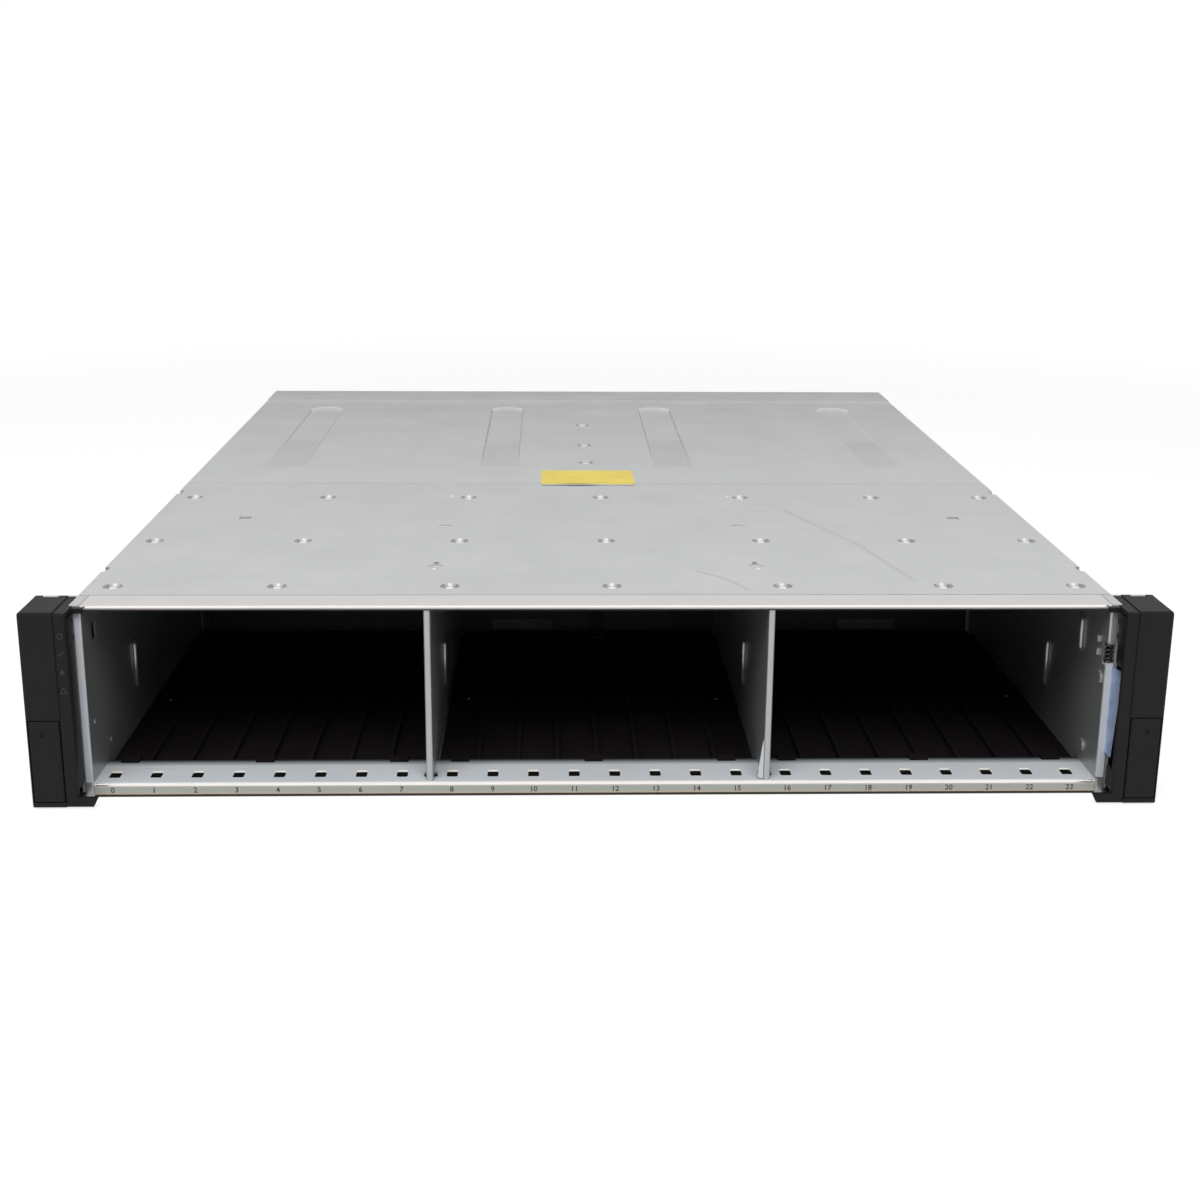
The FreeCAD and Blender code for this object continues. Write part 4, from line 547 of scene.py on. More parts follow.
# %% Wires, bars and strips
def capped(rings, first, last):
    """The rings with one more at each end, whose points all lie on a given point."""
    ends = [np.repeat(point[None, None], rings.shape[1], 1) for point in (first, last)]
    return np.concatenate([ends[0], rings, ends[1]])


def swept(path, across, up, radius, sides=10):
    """Round wire: at each path point a circle of the two side directions; both ends are drawn in to a point."""
    turn = np.linspace(0, 2 * np.pi, sides, endpoint=False)[None, :, None]
    across, up = (np.broadcast_to(axis, path.shape)[:, None] for axis in (across, up))
    return capped(path[:, None] + radius * (np.cos(turn) * across + np.sin(turn) * up), path[0], path[-1])


def upright_bar(path, girths, sides):
    """Round bar along Z with a radius in millimetres for each path point: a swept wire with level circles."""
    return swept(path, (1.0, 0, 0), (0, 1.0, 0), np.array(girths)[:, None, None] * MM, sides)


def tapered(stations):
    """Rings of four corners in millimetres, joined one after another; both ends are drawn in to their middles."""
    rings = np.array(stations, float)
    closed = capped(rings, rings[0].mean(0), rings[-1].mean(0))
    return place_mm(*closed.reshape(-1, 3)).reshape(1, *closed.shape)


def upright_ring(x, y, z, half_width, half_height):
    """The four corners of a rectangle that stands across the depth, about its middle."""
    x0, x1, z0, z1 = x - half_width, x + half_width, z - half_height, z + half_height
    return [(x0, y, z0), (x1, y, z0), (x1, y, z1), (x0, y, z1)]


def strip(path, x0, x1, thickness):
    """Bent strip of sheet: at each point (y, z, ny, nz) of the path a rectangle across, thick along its normal n."""
    rings = []
    for y, z, ny, nz in path:
        outer_y, outer_z = y + ny * thickness, z + nz * thickness
        rings.append([(x0, y, z), (x1, y, z), (x1, outer_y, outer_z), (x0, outer_y, outer_z)])
    return tapered(rings)


print("helpers for wires, bars and strips")

# %% [markdown]
# Blind rivets hold the top. They sit in pressed dishes, so that nothing stands above the sheet. In the frame each
# rivet is a six-sided block. Here it becomes a turned shape with the low dome that the riveting tool leaves, and its
# place is measured on the frame's own rivet.

# %% Rivet heads
RIVETS = 24
SHANK = [(0, -1.3), (1.2, -1.3), (1.2, -0.5)]
DOME = [(1.9, -0.5), (1.9, -0.46), (1.8, -0.3), (1.6, -0.15), (1.3, -0.05), (0.8, 0), (0, 0)]
corners = np.empty(3 * len(nodes["top_rivets"].data.vertices))
nodes["top_rivets"].data.vertices.foreach_get("co", corners)
corners = corners.reshape(RIVETS, -1, 3)
lows, highs = corners.min(1), corners.max(1)
rivet_tops = np.c_[(lows + highs)[:, :2] / 2, highs[:, 2]]
rivet_heads = piece("rivet_heads", [copies_at(lathe(SHANK + DOME, 16), rivet_tops)], rivet_steel)
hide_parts("top_rivets")
print("widest rivet", round(float((highs - lows)[:, :2].max()) / MM, 2), "mm")

# %% [markdown]
# The sides of each dish get a painted shade, and in the front panel the middle of each dish's rear wall gets a painted
# highlight. So a thin strip lies on each, a short piece of a cone about the rivet.

# %% Painted shade and highlight in the dishes
panel_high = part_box("front_top_panel")[1]
dish_rims = np.c_[rivet_tops[:, :2], np.full(RIVETS, panel_high.z)]
front_rims = dish_rims[dish_rims[:, 1] < panel_high.y]
WALL_RADIUS, WALL_HEIGHT = np.array([(4.3, 2.95, 2.95, 4.3), (0.0, -0.97, -0.93, 0.03)])
SIDE_SPREAD, BACK_SPREAD = 52, 15


def dish_arc(middle, spread, places):
    """Piece of the dish's wall: both edges of a thin cone, turned about the rivet from one angle to another."""
    turn = np.radians(np.linspace(middle - spread, middle + spread, 9))[:, None]
    round_x, round_y = WALL_RADIUS * np.cos(turn), WALL_RADIUS * np.sin(turn)
    arc = np.stack(np.broadcast_arrays(round_x, round_y, WALL_HEIGHT), -1) * MM
    return copies_at(capped(arc, arc[0].mean(0), arc[-1].mean(0)), places)


# Painted shade on the sides of each dish, and a painted highlight on the rear walls in the front panel.
sides = [dish_arc(middle, SIDE_SPREAD, dish_rims) for middle in (0, 180)]
piece("dish_walls", sides, dish_shade_zinc)
piece("dish_backs", [dish_arc(90, BACK_SPREAD, front_rims)], rivet_steel)

# %% [markdown]
# Between the rivets the panel shows what is fixed below it: two lanced hooks, each a low swelling with a bright pip
# in front and a pierced hole behind, two more swellings over welds, and two small locating pips. These are turned
# shapes. The holes are dark pads a hair above the sheet, a painted shade for their hollows, and pads of sheet lie
# below the two slots and the seam.

# %% Marks in the top panel
PANEL_TOP = panel_high.z / MM


def on_panel(*spots):
    """Places on the top sheet, from millimetres across and back."""
    return place_mm(*[(x, y, PANEL_TOP) for x, y in spots])


swelling = lathe([(0, -0.1), (3.6, -0.1), (3.6, 0.0), (2.7, 0.3), (1.7, 0.48), (0.8, 0.53), (0, 0.54)], 24)
seam_strip = pad(446.0, 1.0, 0.2, [(0, -1.1), (0, -0.07)], 2)
slot_back = pad(7.0, 6.0, 0.5, [(0, -1.1), (0, -0.5)])
marks = [
    copies_at(swelling, on_panel((-73.5, 61), (73.5, 61), (-73.5, 135.5), (73.5, 135.5))),
    copies_at(seam_strip, on_panel((0, 234.2))),
    copies_at(slot_back, on_panel((-176.6, 153.5), (186.6, 153.5))),
]
piece("panel_marks", marks, top_zinc)
pip = lathe([(0, -0.1), (1.1, -0.1), (1.0, 0.08), (0.75, 0.26), (0.4, 0.36), (0, 0.4)], 14)
pips = copies_at(pip, on_panel((-74, 57.2), (74, 57.2), (-74, 202.5), (75, 202.5)))
piece("panel_pips", [pips], rivet_steel)
# Painted shade: dark pads for the hollows of the pierced holes.
pierced = pad(2.4, 2.8, 0.8, [(0, -0.1), (0, 0.02)])
holes = copies_at(pierced, on_panel((-73.5, 67.4), (73.5, 67.4)))
piece("pierced_holes", [holes], lever_abs)

# %% [markdown]
# The rear cover has a doubled hem that steps up. This short slope and the leaning sides of the two inner ribs get a
# painted shade: a thin strip of darker, duller sheet lies on each. Along a rib the strip widens with the depth of the
# rib.

# %% Painted shade on the slopes of the rear cover
FILM = 0.02
HEM_Y, HEM_RISE, HEM_HALF = 502.0, 0.56, 223.0
SLOPE = math.sqrt(0.5)
# Painted shade on the slope of the hem.
hem_path = [(HEM_Y - FILM, PANEL_TOP, -SLOPE, SLOPE), (HEM_Y + HEM_RISE, PANEL_TOP + HEM_RISE, -SLOPE, SLOPE)]
piece("hem_step", [strip(hem_path, -HEM_HALF, HEM_HALF, FILM)], slope_shade_zinc)
RIBS, RIB_HALF, RIB_LEAN, RIB_DEPTH = (-51.0, 51.0), 11.25, 1.0, 0.9
RIB_SINK = ((281.0, 0.01), (360.0, 1.0), (466.7, 1.0))


def rib_side(x, side):
    """Thin sheet on one wall of a rib: it leans in on its way down, and reaches lower as the rib sinks.

    On the right wall the corners are taken in the other order, so that both walls run round the same way.
    """
    mouth, over = x + side * RIB_HALF, PANEL_TOP + FILM
    rings = []
    for y, sunk in RIB_SINK:
        low_x, low_z = mouth - side * RIB_LEAN * sunk, PANEL_TOP - RIB_DEPTH * sunk
        upper = [(low_x - side * FILM, y, low_z + FILM), (mouth - side * FILM, y, over)]
        rings.append([(mouth, y, PANEL_TOP), (low_x, y, low_z), *upper][::-side])
    return tapered(rings)


# Painted shade on the leaning sides of the ribs.
rib_sides = [rib_side(x, side) for x in RIBS for side in (-1, 1)]
piece("rib_sides", rib_sides, dulled_zinc)

# %% [markdown]
# A yellow sticker bridges the seam between the two top sheets. It is left blank. It is a thin sheet of vinyl on its
# paper backing, laid by hand: slightly wavy, and lifted a little along its front edge. The sheet is a ring of points,
# across the top and back below, carried from front to rear, so that it has both faces and closed edges.

# %% Blank sticker over the seam
GLUE, WAVE_HEIGHT = 0.04, 0.03
CURL_X, CURL_WIDTH, CURL_BACK = -7, 9, 6


def laid_sheet(width, y_front, y_rear, thickness, lift, columns=27, rows=20):
    """Top height is a small wave plus a lift that fades from the front edge; the ring returns one thickness lower."""
    across = np.linspace(-0.5, 0.5, columns) * width
    along = np.linspace(y_front, y_rear, rows)[:, None]
    wave = WAVE_HEIGHT * np.sin(across / 4.1 + along / 7.0) * np.sin(along / 5.0)
    fading = np.clip(1 - (along - y_front) / CURL_BACK, 0, 1) ** 2
    curl = lift * np.exp(-((across - CURL_X) / CURL_WIDTH) ** 2) * fading
    top = PANEL_TOP + thickness + GLUE + wave + curl
    inside = np.zeros_like(top)
    inside[1:-1, 1:-1] = thickness
    upper = np.stack(np.broadcast_arrays(across, along, top), -1)
    lower = np.stack(np.broadcast_arrays(across, along, top - inside), -1)[:, ::-1]
    return place_mm(*np.concatenate([upper, lower], 1).reshape(-1, 3)).reshape(1, rows, -1, 3)


piece("sticker_backing", [laid_sheet(51.0, 229.2, 240.0, 0.06, 0.2)], label_paper)
piece("seam_sticker", [laid_sheet(52.4, 231.6, 267.6, 0.14, 0.35)], yellow_vinyl)

# %% [markdown]
# The small coil spring of the latch stands between the slider and the bay wall. In the frame it is square wire in
# short straight steps. Here it is round wire on a helix whose first and last turns lie flat, as a spring maker closes
# them.

# %% Coil spring
WIRE, TURNS, CLOSED, STEPS = 0.3 * MM, 5.5, 0.6, 133
low, high = (np.array(corner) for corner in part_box("latch_spring"))
reach = (high[0] - low[0]) / 2 - WIRE
wound = np.linspace(0, TURNS, STEPS)
climb = np.clip((wound - CLOSED) / (TURNS - 2 * CLOSED), 0, 1)
rise = climb * (high[2] - low[2] - 4 * WIRE) + 2 * WIRE * wound / TURNS
angle = 2 * np.pi * wound
radial = np.stack([np.cos(angle), np.sin(angle), np.zeros_like(angle)], -1)
foot = np.array([(low[0] + high[0]) / 2, (low[1] + high[1]) / 2, low[2] + WIRE])
helix = foot + radial * reach + np.outer(rise, (0, 0, 1))
coil = swept(helix, radial, (0, 0, 1.0), WIRE)
spring_coil = piece("spring_coil", [coil[None]], spring_steel, smooth_to=1.2)
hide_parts("latch_spring")
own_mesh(spring_coil)

# %% [markdown]
# The sill has one small window for each bay, filled from below by black pads, a painted shade for the dark inside
# of the windows. The strips and the plugs that they push into the windows are pads.

# %% Sill windows
PITCH, GROUP_STEP, FIRST_WINDOW, WINDOW_Y = 17.85, 4.0, -210.9, 8.5
SILL_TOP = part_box("front_sill")[1].z / MM
bays = np.arange(24)
window_x = FIRST_WINDOW + PITCH * bays + GROUP_STEP * (bays // 8)
# Painted shade: black pads fill the windows from below.
shade_strip = pad(PITCH * 8 - 8, 9.0, 1.0, [(0, 0), (0, 0.55)])
shade_strip_places = place_mm(*[(group.mean(), WINDOW_Y, SILL_TOP - 1.78) for group in window_x.reshape(3, 8)])
shade_plug = pad(4.8, 5.2, 0.5, [(0.3, 0), (0.3, 1.2), (0, 1.26), (0, 1.28)], 2)
shade_plug_places = place_mm(*[(x, WINDOW_Y, SILL_TOP - 1.25) for x in window_x])
window_shades = [copies_at(shade_strip, shade_strip_places), copies_at(shade_plug, shade_plug_places)]
piece("window_foam", window_shades, black_foam)

# %% [markdown]
# Each bay's number is printed below its window on the front. Numbers are the only printing. They are set as text,
# made a mesh, and carried to the front face; the text has a little depth, so each figure is a closed thin solid, like
# a layer of ink.

# %% Slot numbers
NUMBER_HEIGHT, FIGURE_SHARE, INK, STROKE_SPREAD = 2.4, 0.7, 0.02, 0.06
NUMBER_Z, NUMBER_SPAN = 2.9, 0.997
number_points, number_faces, count = [], [], 0
for bay in bays:
    text = bpy.data.curves.new("number", "FONT")
    text.body, text.size, text.extrude = str(bay), NUMBER_HEIGHT / FIGURE_SHARE * MM, INK * MM
    text.offset = STROKE_SPREAD * MM
    text.align_x, text.align_y, text.resolution_u = "CENTER", "CENTER", 3
    holder = bpy.data.objects.new("number", text)
    flat = bpy.data.meshes.new_from_object(holder)
    spots = np.array([vertex.co for vertex in flat.vertices])
    number_points.append(spots @ FACING_FRONT.T + place_mm((window_x[bay] * NUMBER_SPAN, 0, NUMBER_Z))[0])
    number_faces += [[corner + count for corner in face.vertices] for face in flat.polygons]
    count += len(spots)
    bpy.data.objects.remove(holder)
    bpy.data.curves.remove(text)
    bpy.data.meshes.remove(flat)
number_mesh = bpy.data.meshes.new("slot_numbers")
number_mesh.from_pydata(np.concatenate(number_points).tolist(), [], number_faces)
settle("slot_numbers", number_mesh, printing_ink, "chassis", SMOOTH_TO)

# %% [markdown]
# A thin brown line along the foot of the sill and under the lip of the top rail is a painted shadow: two long flat
# pads. The bend of the sill, the front of the lip, and the rear rim of each window, which is formed up a little, are
# bright instead, a painted highlight.

# %% Painted shadow lines and edge highlights
# Painted shadow along the foot of the sill and under the lip of the top rail.
foot_shadow = pad(436.0, 1.1, 0.1, [(0, -0.2), (0, 0.03)], 2)
lip_shadow = pad(434.0, 0.6, 0.1, [(0, -0.2), (0, 0.1)], 2)
shadow_pads = [
    copies_at(foot_shadow, place_mm((0, 0, 0.57)), FACING_FRONT),
    copies_at(lip_shadow, place_mm((0, 0.5, 84.45)), FACING_FRONT),
]
piece("sheared_edges", shadow_pads, bare_edge_steel)

# Painted highlight along the bend of the sill and the front of the lip.
BEND, BEND_HALF, HIGHLIGHT_BELOW, HIGHLIGHT_DEPTH = 1.0, 217.6, 0.35, 0.03
RIM_Y = 11.65
bend_turn = np.radians(np.linspace(0, 55, 6))
back, up = np.cos(bend_turn), np.sin(bend_turn)
bend_path = [(0, SILL_TOP - BEND - HIGHLIGHT_BELOW, -1, 0)]
bend_path += np.stack([BEND - BEND * back, SILL_TOP - BEND + BEND * up, -back, up], -1).tolist()
lip = pad(434.0, 0.8, 0.2, [(0, -0.1), (0, 0.04)], 2)
rubs_and_highlights = [strip(bend_path, -BEND_HALF, BEND_HALF, HIGHLIGHT_DEPTH), copies_at(lip, place_mm((0, 0, 85.98)), FACING_FRONT)]
piece("burnished_edges", rubs_and_highlights, burnished_zinc)
# Painted highlight on the rear rim of each window.
rim = pad(4.5, 1.1, 0.3, [(0, -0.1), (0, 0.36), (0.3, 0.55)], 3)
rims = copies_at(rim, place_mm(*[(x, RIM_Y, SILL_TOP) for x in window_x]))
piece("window_rims", [rims], rim_highlight_zinc)

# %% [markdown]
# The left cap carries four indicator lamps behind a strip of dark foil. Each has a small sign that shows grey while
# it is unlit: a ring with a stroke, a tick, a solid triangle and an open triangle. A ring and a triangle are the same
# turned band with many sides or with three, and strokes are narrow pads.

# %% Lamp signs on the left cap
SIGN_X, STRIP_Y = -224.2, -11.5
SIGN_Y, UPRIGHT = STRIP_Y - 0.1, math.pi / 2


def lean(angle):
    """A turn in the plane of the sign, before it is stood up to face the front."""
    along, across = math.cos(angle), math.sin(angle)
    return FACING_FRONT @ np.array([(along, -across, 0), (across, along, 0), (0, 0, 1)])


def band(outer, inner, sides):
    """Flat band round an axis: up its inside, over, down its outside and back."""
    return lathe([(inner, -0.02), (inner, 0.03), (outer, 0.03), (outer, -0.02), (inner, -0.02)], sides)


def stroke(length, width):
    """Narrow pad with nearly round ends."""
    return pad(length, width, width / 2.1, [(0, -0.02), (0, 0.03)], 3)


foil = pad(3.5, 33.0, 0.8, [(0, -0.1), (0, 0.08), (0.1, 0.1)])
strip_of_foil = copies_at(foil, place_mm((SIGN_X, STRIP_Y, 64.6)), FACING_FRONT)
piece("sign_foil", [strip_of_foil], grained_abs)
triangle = lathe([(0, -0.02), (1.3, -0.02), (1.3, 0.03), (0, 0.03)], 3)
SIGNS = [
    (band(1.3, 0.95, 20), 0.2, 76.7, 0.0), (stroke(0.9, 0.4), -1.3, 76.7, 0.0),
    (stroke(2.8, 0.45), 0.2, 68.9, 0.95), (stroke(1.2, 0.45), -0.8, 68.2, -0.8),
    (triangle, 0.0, 60.9, UPRIGHT), (band(1.9, 1.25, 3), 0.0, 52.5, UPRIGHT),
]
signs = [copies_at(shape, place_mm((SIGN_X + dx, SIGN_Y, z)), lean(turn)) for shape, dx, z, turn in SIGNS]
piece("lamp_signs", signs, sign_print)

# %% [markdown]
# Each cap is closed towards the bays by thin black webs, and a guard behind the hinge of its door keeps dust and
# light out. The bay wall beside the left cap has a front edge in a paler, more diffuse sheet than the wall: a painted
# highlight. All are rounded plates, stood upright.

# %% Cap webs and the left edge
WEB_CORNER, WEB_RINGS = 0.9, [(0, -0.3), (0, 0.25), (0.15, 0.3)]
WEBS = [
    ((8.6, 76.0), (-221.9, -5.4, 45.5), FACING_RIGHT), ((8.0, 9.5), (221.9, -6.0, 10.3), FACING_LEFT),
    ((8.0, 22.6), (221.9, -6.0, 72.2), FACING_LEFT), ((13.0, 77.0), (225.5, 6.8, 45.0), FACING_LEFT),
]
webs = [copies_at(pad(*size, WEB_CORNER, WEB_RINGS), place_mm(place), facing) for size, place, facing in WEBS]
guard = pad(4.8, 37.0, 0.6, [(0, 0), (0, 0.4)])
webs.append(copies_at(guard, place_mm((-228.0, -9.1, 22.0), (228.0, -9.1, 22.0)), FACING_FRONT))
piece("cap_webs", webs, grained_abs)
# Painted highlight: the wall's front edge in a paler sheet than the wall.
edge_strip = pad(2.7, 76.6, 0.6, [(0, -0.05), (0, 0.05), (0.15, 0.08)])
left_edge = copies_at(edge_strip, place_mm((-219.9, 0, 45.0)), FACING_FRONT)
piece("left_edge_strip", [left_edge], blue_zinc)

# %% [markdown]
# Inside the bays the walls catch the light: two rivets low on the left wall, which are turned, and the round crests
# of the pressed beads, which are upright bars half sunk in the sheet.

# %% Bay walls
LINER_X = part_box("left_side_wall")[0].x / MM + 5.0
wall_rivet = lathe([(0, -0.2), (1.4, -0.2), (1.4, 0.1), (1.15, 0.3), (0.7, 0.45), (0, 0.5)], 16)
wall_rivets = copies_at(wall_rivet, place_mm((LINER_X, 9.5, 31.4), (LINER_X, 32, 14)), FACING_RIGHT)
piece("wall_rivets", [wall_rivets], bay_zinc)

BEAD_SPAN, CREST_OUT, CREST_END, CREST_GIRTHS = (79.5, 22.5, 44.5), 0.4, 1.5, (0.3, 1.2, 1.2, 0.3)
BEAD_SIDES = ((-218.2, 1), (-74.9, -1), (-71.9, 1), (71.9, -1), (74.9, 1), (218.2, -1))
BEADS = [(x, towards, *BEAD_SPAN) for x, towards in BEAD_SIDES] + [(218.2, -1, 33.0, 55.5, 70.5)]
crests = []
for x, towards, y, low, high in BEADS:
    levels = (low, low + CREST_END, high - CREST_END, high)
    spine = place_mm(*[(x + towards * CREST_OUT, y, z) for z in levels])
    crests.append(upright_bar(spine, CREST_GIRTHS, 14)[None])
piece("wall_beads", crests, bay_zinc)

# %% [markdown]
# The guide floors have turned screws. At the far end two clips hold the foot of the midplane, two blank paper labels
# are stuck on it, and foam closes the gap below it. Clips are strips of sheet, a rectangle carried along a bent path.
# At the front, the right partition has a foot that is turned up and tapers.

# %% Floors, midplane and partition foot
FLOOR_TOP, FOAM_Y = 3.7, 221.9
floor_screw = lathe([(0, -0.1), (1.1, -0.1), (1.1, 0.2), (0.9, 0.5), (0.45, 0.62), (0, 0.65)], 12)
SCREW_SPOTS = ((-209.9, 110.7), (-61.9, 111.3), (62.2, 110.4), (209.6, 113.6))
floor_screws = copies_at(floor_screw, place_mm(*[(x, y, FLOOR_TOP) for x, y in SCREW_SPOTS]))
piece("floor_screws", [floor_screws], spring_steel)

clip_path = [(207, 3.75, 0, 1), (223.6, 3.75, -0.4, 1), (224.8, 5.0, -1, 0.4), (224.8, 15.5, -1, 0)]
clips = [strip(clip_path, x0, x1, 1.0) for x0, x1 in ((1.6, 8.8), (-216.6, -212.2))]
piece("midplane_clips", clips, clip_nylon)

label = pad(33.0, 5.6, 0.8, [(0, -0.05), (0, 0.12), (0.1, 0.15)])
labels = copies_at(label, place_mm((-37.2, 226, 6.4), (158.9, 226, 6.4)), FACING_FRONT)
piece("midplane_labels", [labels], aged_paper)

gap_foam = pad(140.0, 7.6, 0.6, [(0, 0), (0, 1.0)], 2)
gap_foams = copies_at(gap_foam, place_mm(*[(x, FOAM_Y, 1.25) for x in (-146.8, 0, 146.8)]))
piece("floor_end_foam", [gap_foams], black_foam)

FOOT_END, FOOT_FRONT, FOOT_REAR = 71.9, 1.1, 1.9
FOOT_EDGE = ((70.6, 7.0), (69.6, 8.2), (69.9, 12.0), (71.2, 22.0), (71.8, 25.0))
foot = [[(x, FOOT_FRONT, z), (FOOT_END, FOOT_FRONT, z), (FOOT_END, FOOT_REAR, z), (x, FOOT_REAR, z)]
        for x, z in FOOT_EDGE]
piece("partition_foot", [tapered(foot)], blue_zinc)

# %% [markdown]
# Each rack ear is a bent plate whose leg lies along the side wall. Three countersunk screws hold it: flat heads,
# flush with the plate, with a sunk socket.

# %% Ear screws
EAR_THICKNESS = 2.0
leg_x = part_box("right_side_wall")[1].x / MM + EAR_THICKNESS
flat_head = lathe([(0, -0.3), (3.4, -0.3), (3.4, 0.02), (3.2, 0.08), (1.6, 0.08), (1.5, -0.2), (0, -0.2)], 18)
EAR_SCREWS = ((40.0, 24.0), (40.0, 62.0), (78.0, 43.2))
ear_grids = []
for side, facing in ((1, FACING_RIGHT), (-1, FACING_LEFT)):
    places = place_mm(*[(side * leg_x, y, z) for y, z in EAR_SCREWS])
    ear_grids.append(copies_at(flat_head, places, facing))
piece("ear_screws", ear_grids, rivet_steel)

# %% [markdown]
# The two controller canisters are equal, and so are the two power modules: the second of each pair is the first
# turned half round about the line from front to rear. So each rear detail is worked out once, for the lower canister
# or the right power module, and a half turn gives the other.

# %% Rear pairs
MIDDLE_Z, FACEPLATE = 42.6, 1.5
REAR_FACE = (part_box("lower_canister_faceplate")[0].y - FRONT) / MM + FACEPLATE


def half_turned(grid):
    """A half turn about the front-to-rear line through the middle: x and z change sign about it."""
    return grid * (-1, 1, -1) + (0, 0, 2 * MIDDLE_Z * MM)


def rear_pair(name, grids, finish, bodies):
    """One piece on the first body and the same, half turned, on the second."""
    first, second = bodies
    piece(first + name, grids, finish, first)
    piece(second + name, [half_turned(grid) for grid in grids], finish, second)


CANISTERS = ("lower_canister", "upper_canister")
POWERS = ("right_power", "left_power")
print("rear face at", round(REAR_FACE, 2), "mm")

# %% [markdown]
# Each canister has four host ports, steel cages with a tongue of board inside that carries gilded contact strips on
# both faces, and two network jacks with eight springy wires each. The tongues are tapered bars, the strips are thin
# pads, and the jack wires are round wire along a bent path.

# %% Contacts in the ports
PORT_CENTRES = -76.1 + 15.0 * np.arange(4)
PORT_MIDDLE, PORT_FLOOR = 12.0, 497.0
TONGUE_HALF_WIDTH, TONGUE_HALF_HEIGHT = 5.2, 0.7
tongue_ends = ((PORT_FLOOR, 0), (REAR_FACE - 11.0, 0), (REAR_FACE - 10.0, 0.35))
tongues = [
    tapered([upright_ring(x, y, PORT_MIDDLE, TONGUE_HALF_WIDTH, TONGUE_HALF_HEIGHT - cut) for y, cut in tongue_ends])
    for x in PORT_CENTRES
]
rear_pair("_port_tongues", tongues, connector_nylon, CANISTERS)
contact_x = (PORT_CENTRES[:, None] + np.linspace(-4.4, 4.4, 9)).ravel()
contact = pad(0.6, 12.0, 0.2, [(0, -0.03), (0, 0.05)], 2)
contacts = []
for side in (1, -1):
    places = place_mm(*[(x, REAR_FACE - 18.0, PORT_MIDDLE + side * TONGUE_HALF_HEIGHT) for x in contact_x])
    contacts.append(copies_at(contact, places, np.diag((1, side, side))))
rear_pair("_port_contacts", contacts, gold_flash, CANISTERS)

JACK_CENTRES = 22.1 + 14.0 * np.arange(2)
WIRE_STEP, WIRE_GIRTH = 1.02, 0.22 * MM
bend = np.array([(0, 526.0, 12.4), (0, 530.0, 12.6), (0, 537.0, 15.6), (0, 538.2, 17.1)])
away = np.array([(0, 0, 1.0), (0, -0.2, 1), (0, -0.5, 0.85), (0, -0.9, 0.4)])
wire = swept(place_mm(*bend), (1.0, 0, 0), away, WIRE_GIRTH, 6)
wire_x = (JACK_CENTRES[:, None] + WIRE_STEP * (np.arange(8) - 3.5)).ravel()
rear_pair("_jack_wires", [copies_at(wire, np.outer(wire_x * MM, (1, 0, 0)))], gold_flash, CANISTERS)

# %% [markdown]
# The mains inlets have three flat pins. In the frame they are one moulding with the housing, so each pin gets a
# sleeve of bright metal with a bevelled end. The fan behind each grille is held by four screws, and a canister's
# faceplate by three. Screw heads are turned with a sunk middle.

# %% Inlet pins and rear screws
INLET_X, INLET_Z, FAN_X, FAN_HOLE = 136.0, 17.7, 184.3, 25.0
PIN_SPOTS = ((-7, 0), (7, 0), (0, 4))
PIN_RINGS = ((525.1, 1.06, 2.06), (538.4, 1.06, 2.06), (539.4, 0.7, 1.6))
sleeves = [
    tapered([upright_ring(INLET_X + dx, y, INLET_Z + dz, w, h) for y, w, h in PIN_RINGS]) for dx, dz in PIN_SPOTS
]
rear_pair("_inlet_pins", sleeves, nickel_plated_steel, POWERS)
screw = lathe([(0, 0.3), (0.75, 0.3), (0.8, 0.75), (1.3, 0.72), (1.8, 0.45), (2.0, 0.1), (2.0, -0.1), (0, -0.1)], 14)
hole_offsets = (-FAN_HOLE, FAN_HOLE)
fan_places = place_mm(*[(FAN_X + dx, REAR_FACE, MIDDLE_Z + dz) for dx in hole_offsets for dz in hole_offsets])
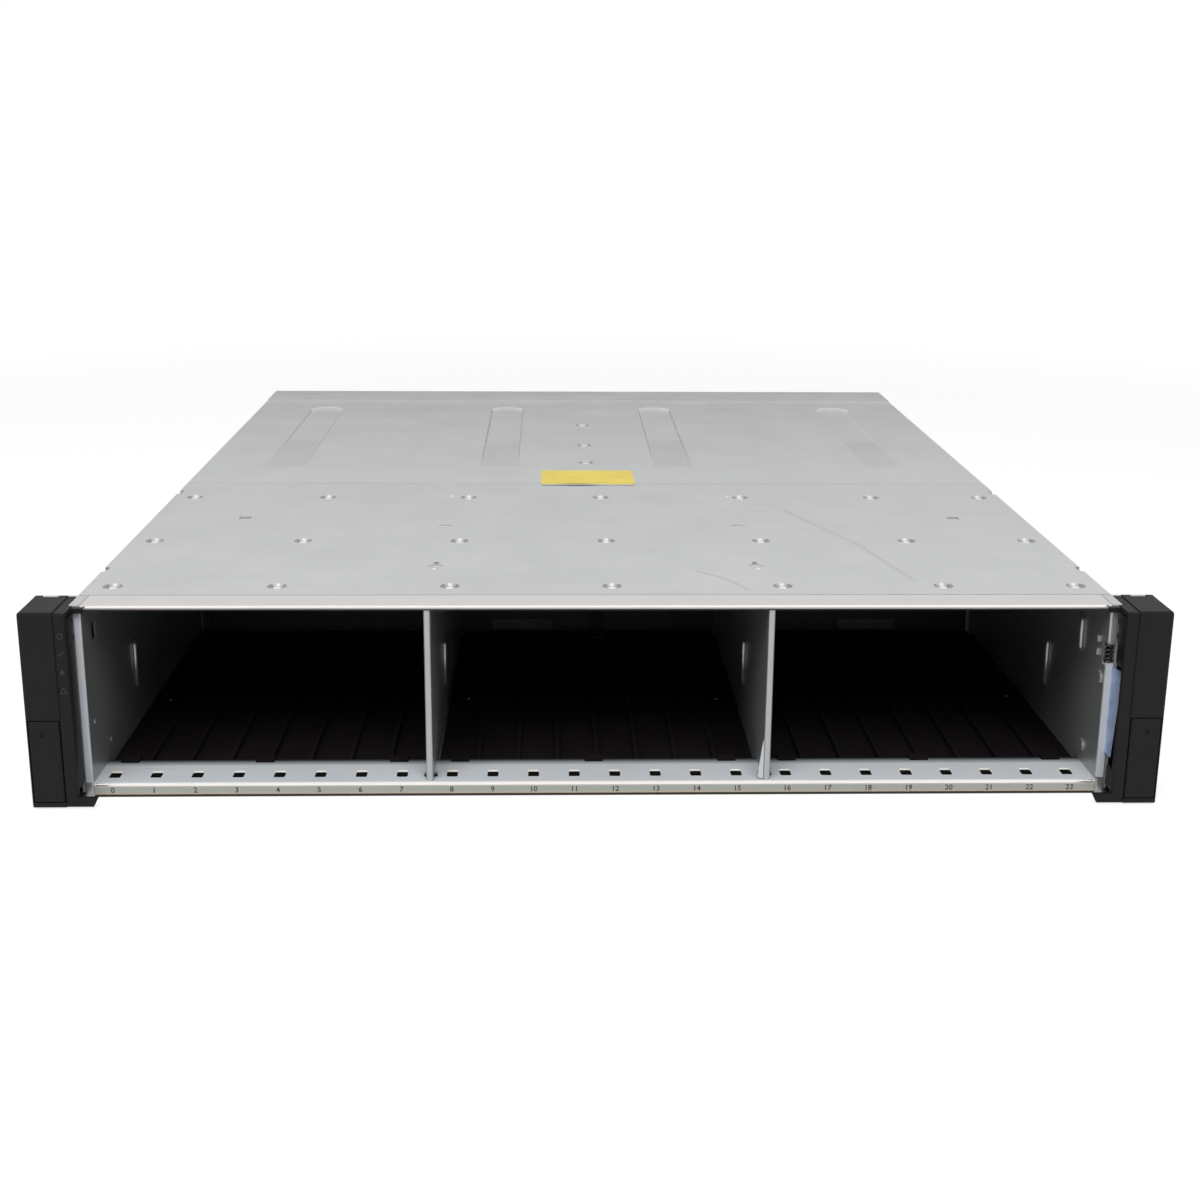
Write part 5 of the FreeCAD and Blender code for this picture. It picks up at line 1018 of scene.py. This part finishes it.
rear_pair("_fan_screws", [copies_at(screw, fan_places, FACING_REAR)], rivet_steel, POWERS)
plate_places = place_mm((-97, REAR_FACE, 8), (-6, REAR_FACE, 8), (97, REAR_FACE, 8))
rear_pair("_plate_screws", [copies_at(screw, plate_places, FACING_REAR)], rivet_steel, CANISTERS)

# %% [markdown]
# Status lamps on the rear are small domed lenses, green or amber glass-clear plastic that looks dark while it is
# unlit.

# %% Status lenses
lens = lathe([(0, -0.2), (1.2, -0.2), (1.2, 0.1), (1.0, 0.4), (0.6, 0.62), (0, 0.7)], 14)
for name, finish, z in (("_green_lenses", green_lens, 14.0), ("_amber_lenses", amber_lens, 9.0)):
    places = place_mm(*[(x, REAR_FACE, z) for x in (52.0, 60.0, 68.0)])
    rear_pair(name, [copies_at(lens, places, FACING_REAR)], finish, CANISTERS)
for name, finish, z in (("_green_lens", green_lens, 52.0), ("_amber_lens", amber_lens, 46.0)):
    rear_pair(name, [copies_at(lens, place_mm((121.0, REAR_FACE, z)), FACING_REAR)], finish, POWERS)

# %% [markdown]
# Each cam lever ends in a turned-out finger end with a few moulded ridges for grip. They are short rounded bars, half
# sunk in the outer face, and they move with their own lever. Their places come from the box of the lever in the
# frame.

# %% Lever ridges
RIDGE_BACK, RIDGE_INSET, END_SLOPE = np.array([2.6, 5.0, 7.4, 9.8]), 1.6, 0.413
spine = np.outer((-4.6, -4.2, 4.2, 4.6), (0, 0, MM))
ridge = upright_bar(spine, (0.3, 0.55, 0.55, 0.3), 8)
for name in [name for name in nodes if name.endswith("_lever")]:
    low, high = (np.array(corner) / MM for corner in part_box(name))
    centre = (low + high) / 2
    outward = np.sign(centre[0]) * (1 if "power" in name else -1)
    end = high[0] if outward > 0 else low[0]
    ridge_x = end - outward * (RIDGE_INSET + RIDGE_BACK)
    ridge_y = high[1] - FRONT / MM - END_SLOPE * RIDGE_BACK
    places = place_mm(*np.stack([ridge_x, ridge_y, np.full(len(RIDGE_BACK), centre[2])], -1))
    piece(name + "_ridges", [copies_at(ridge, places)], lever_abs, name)
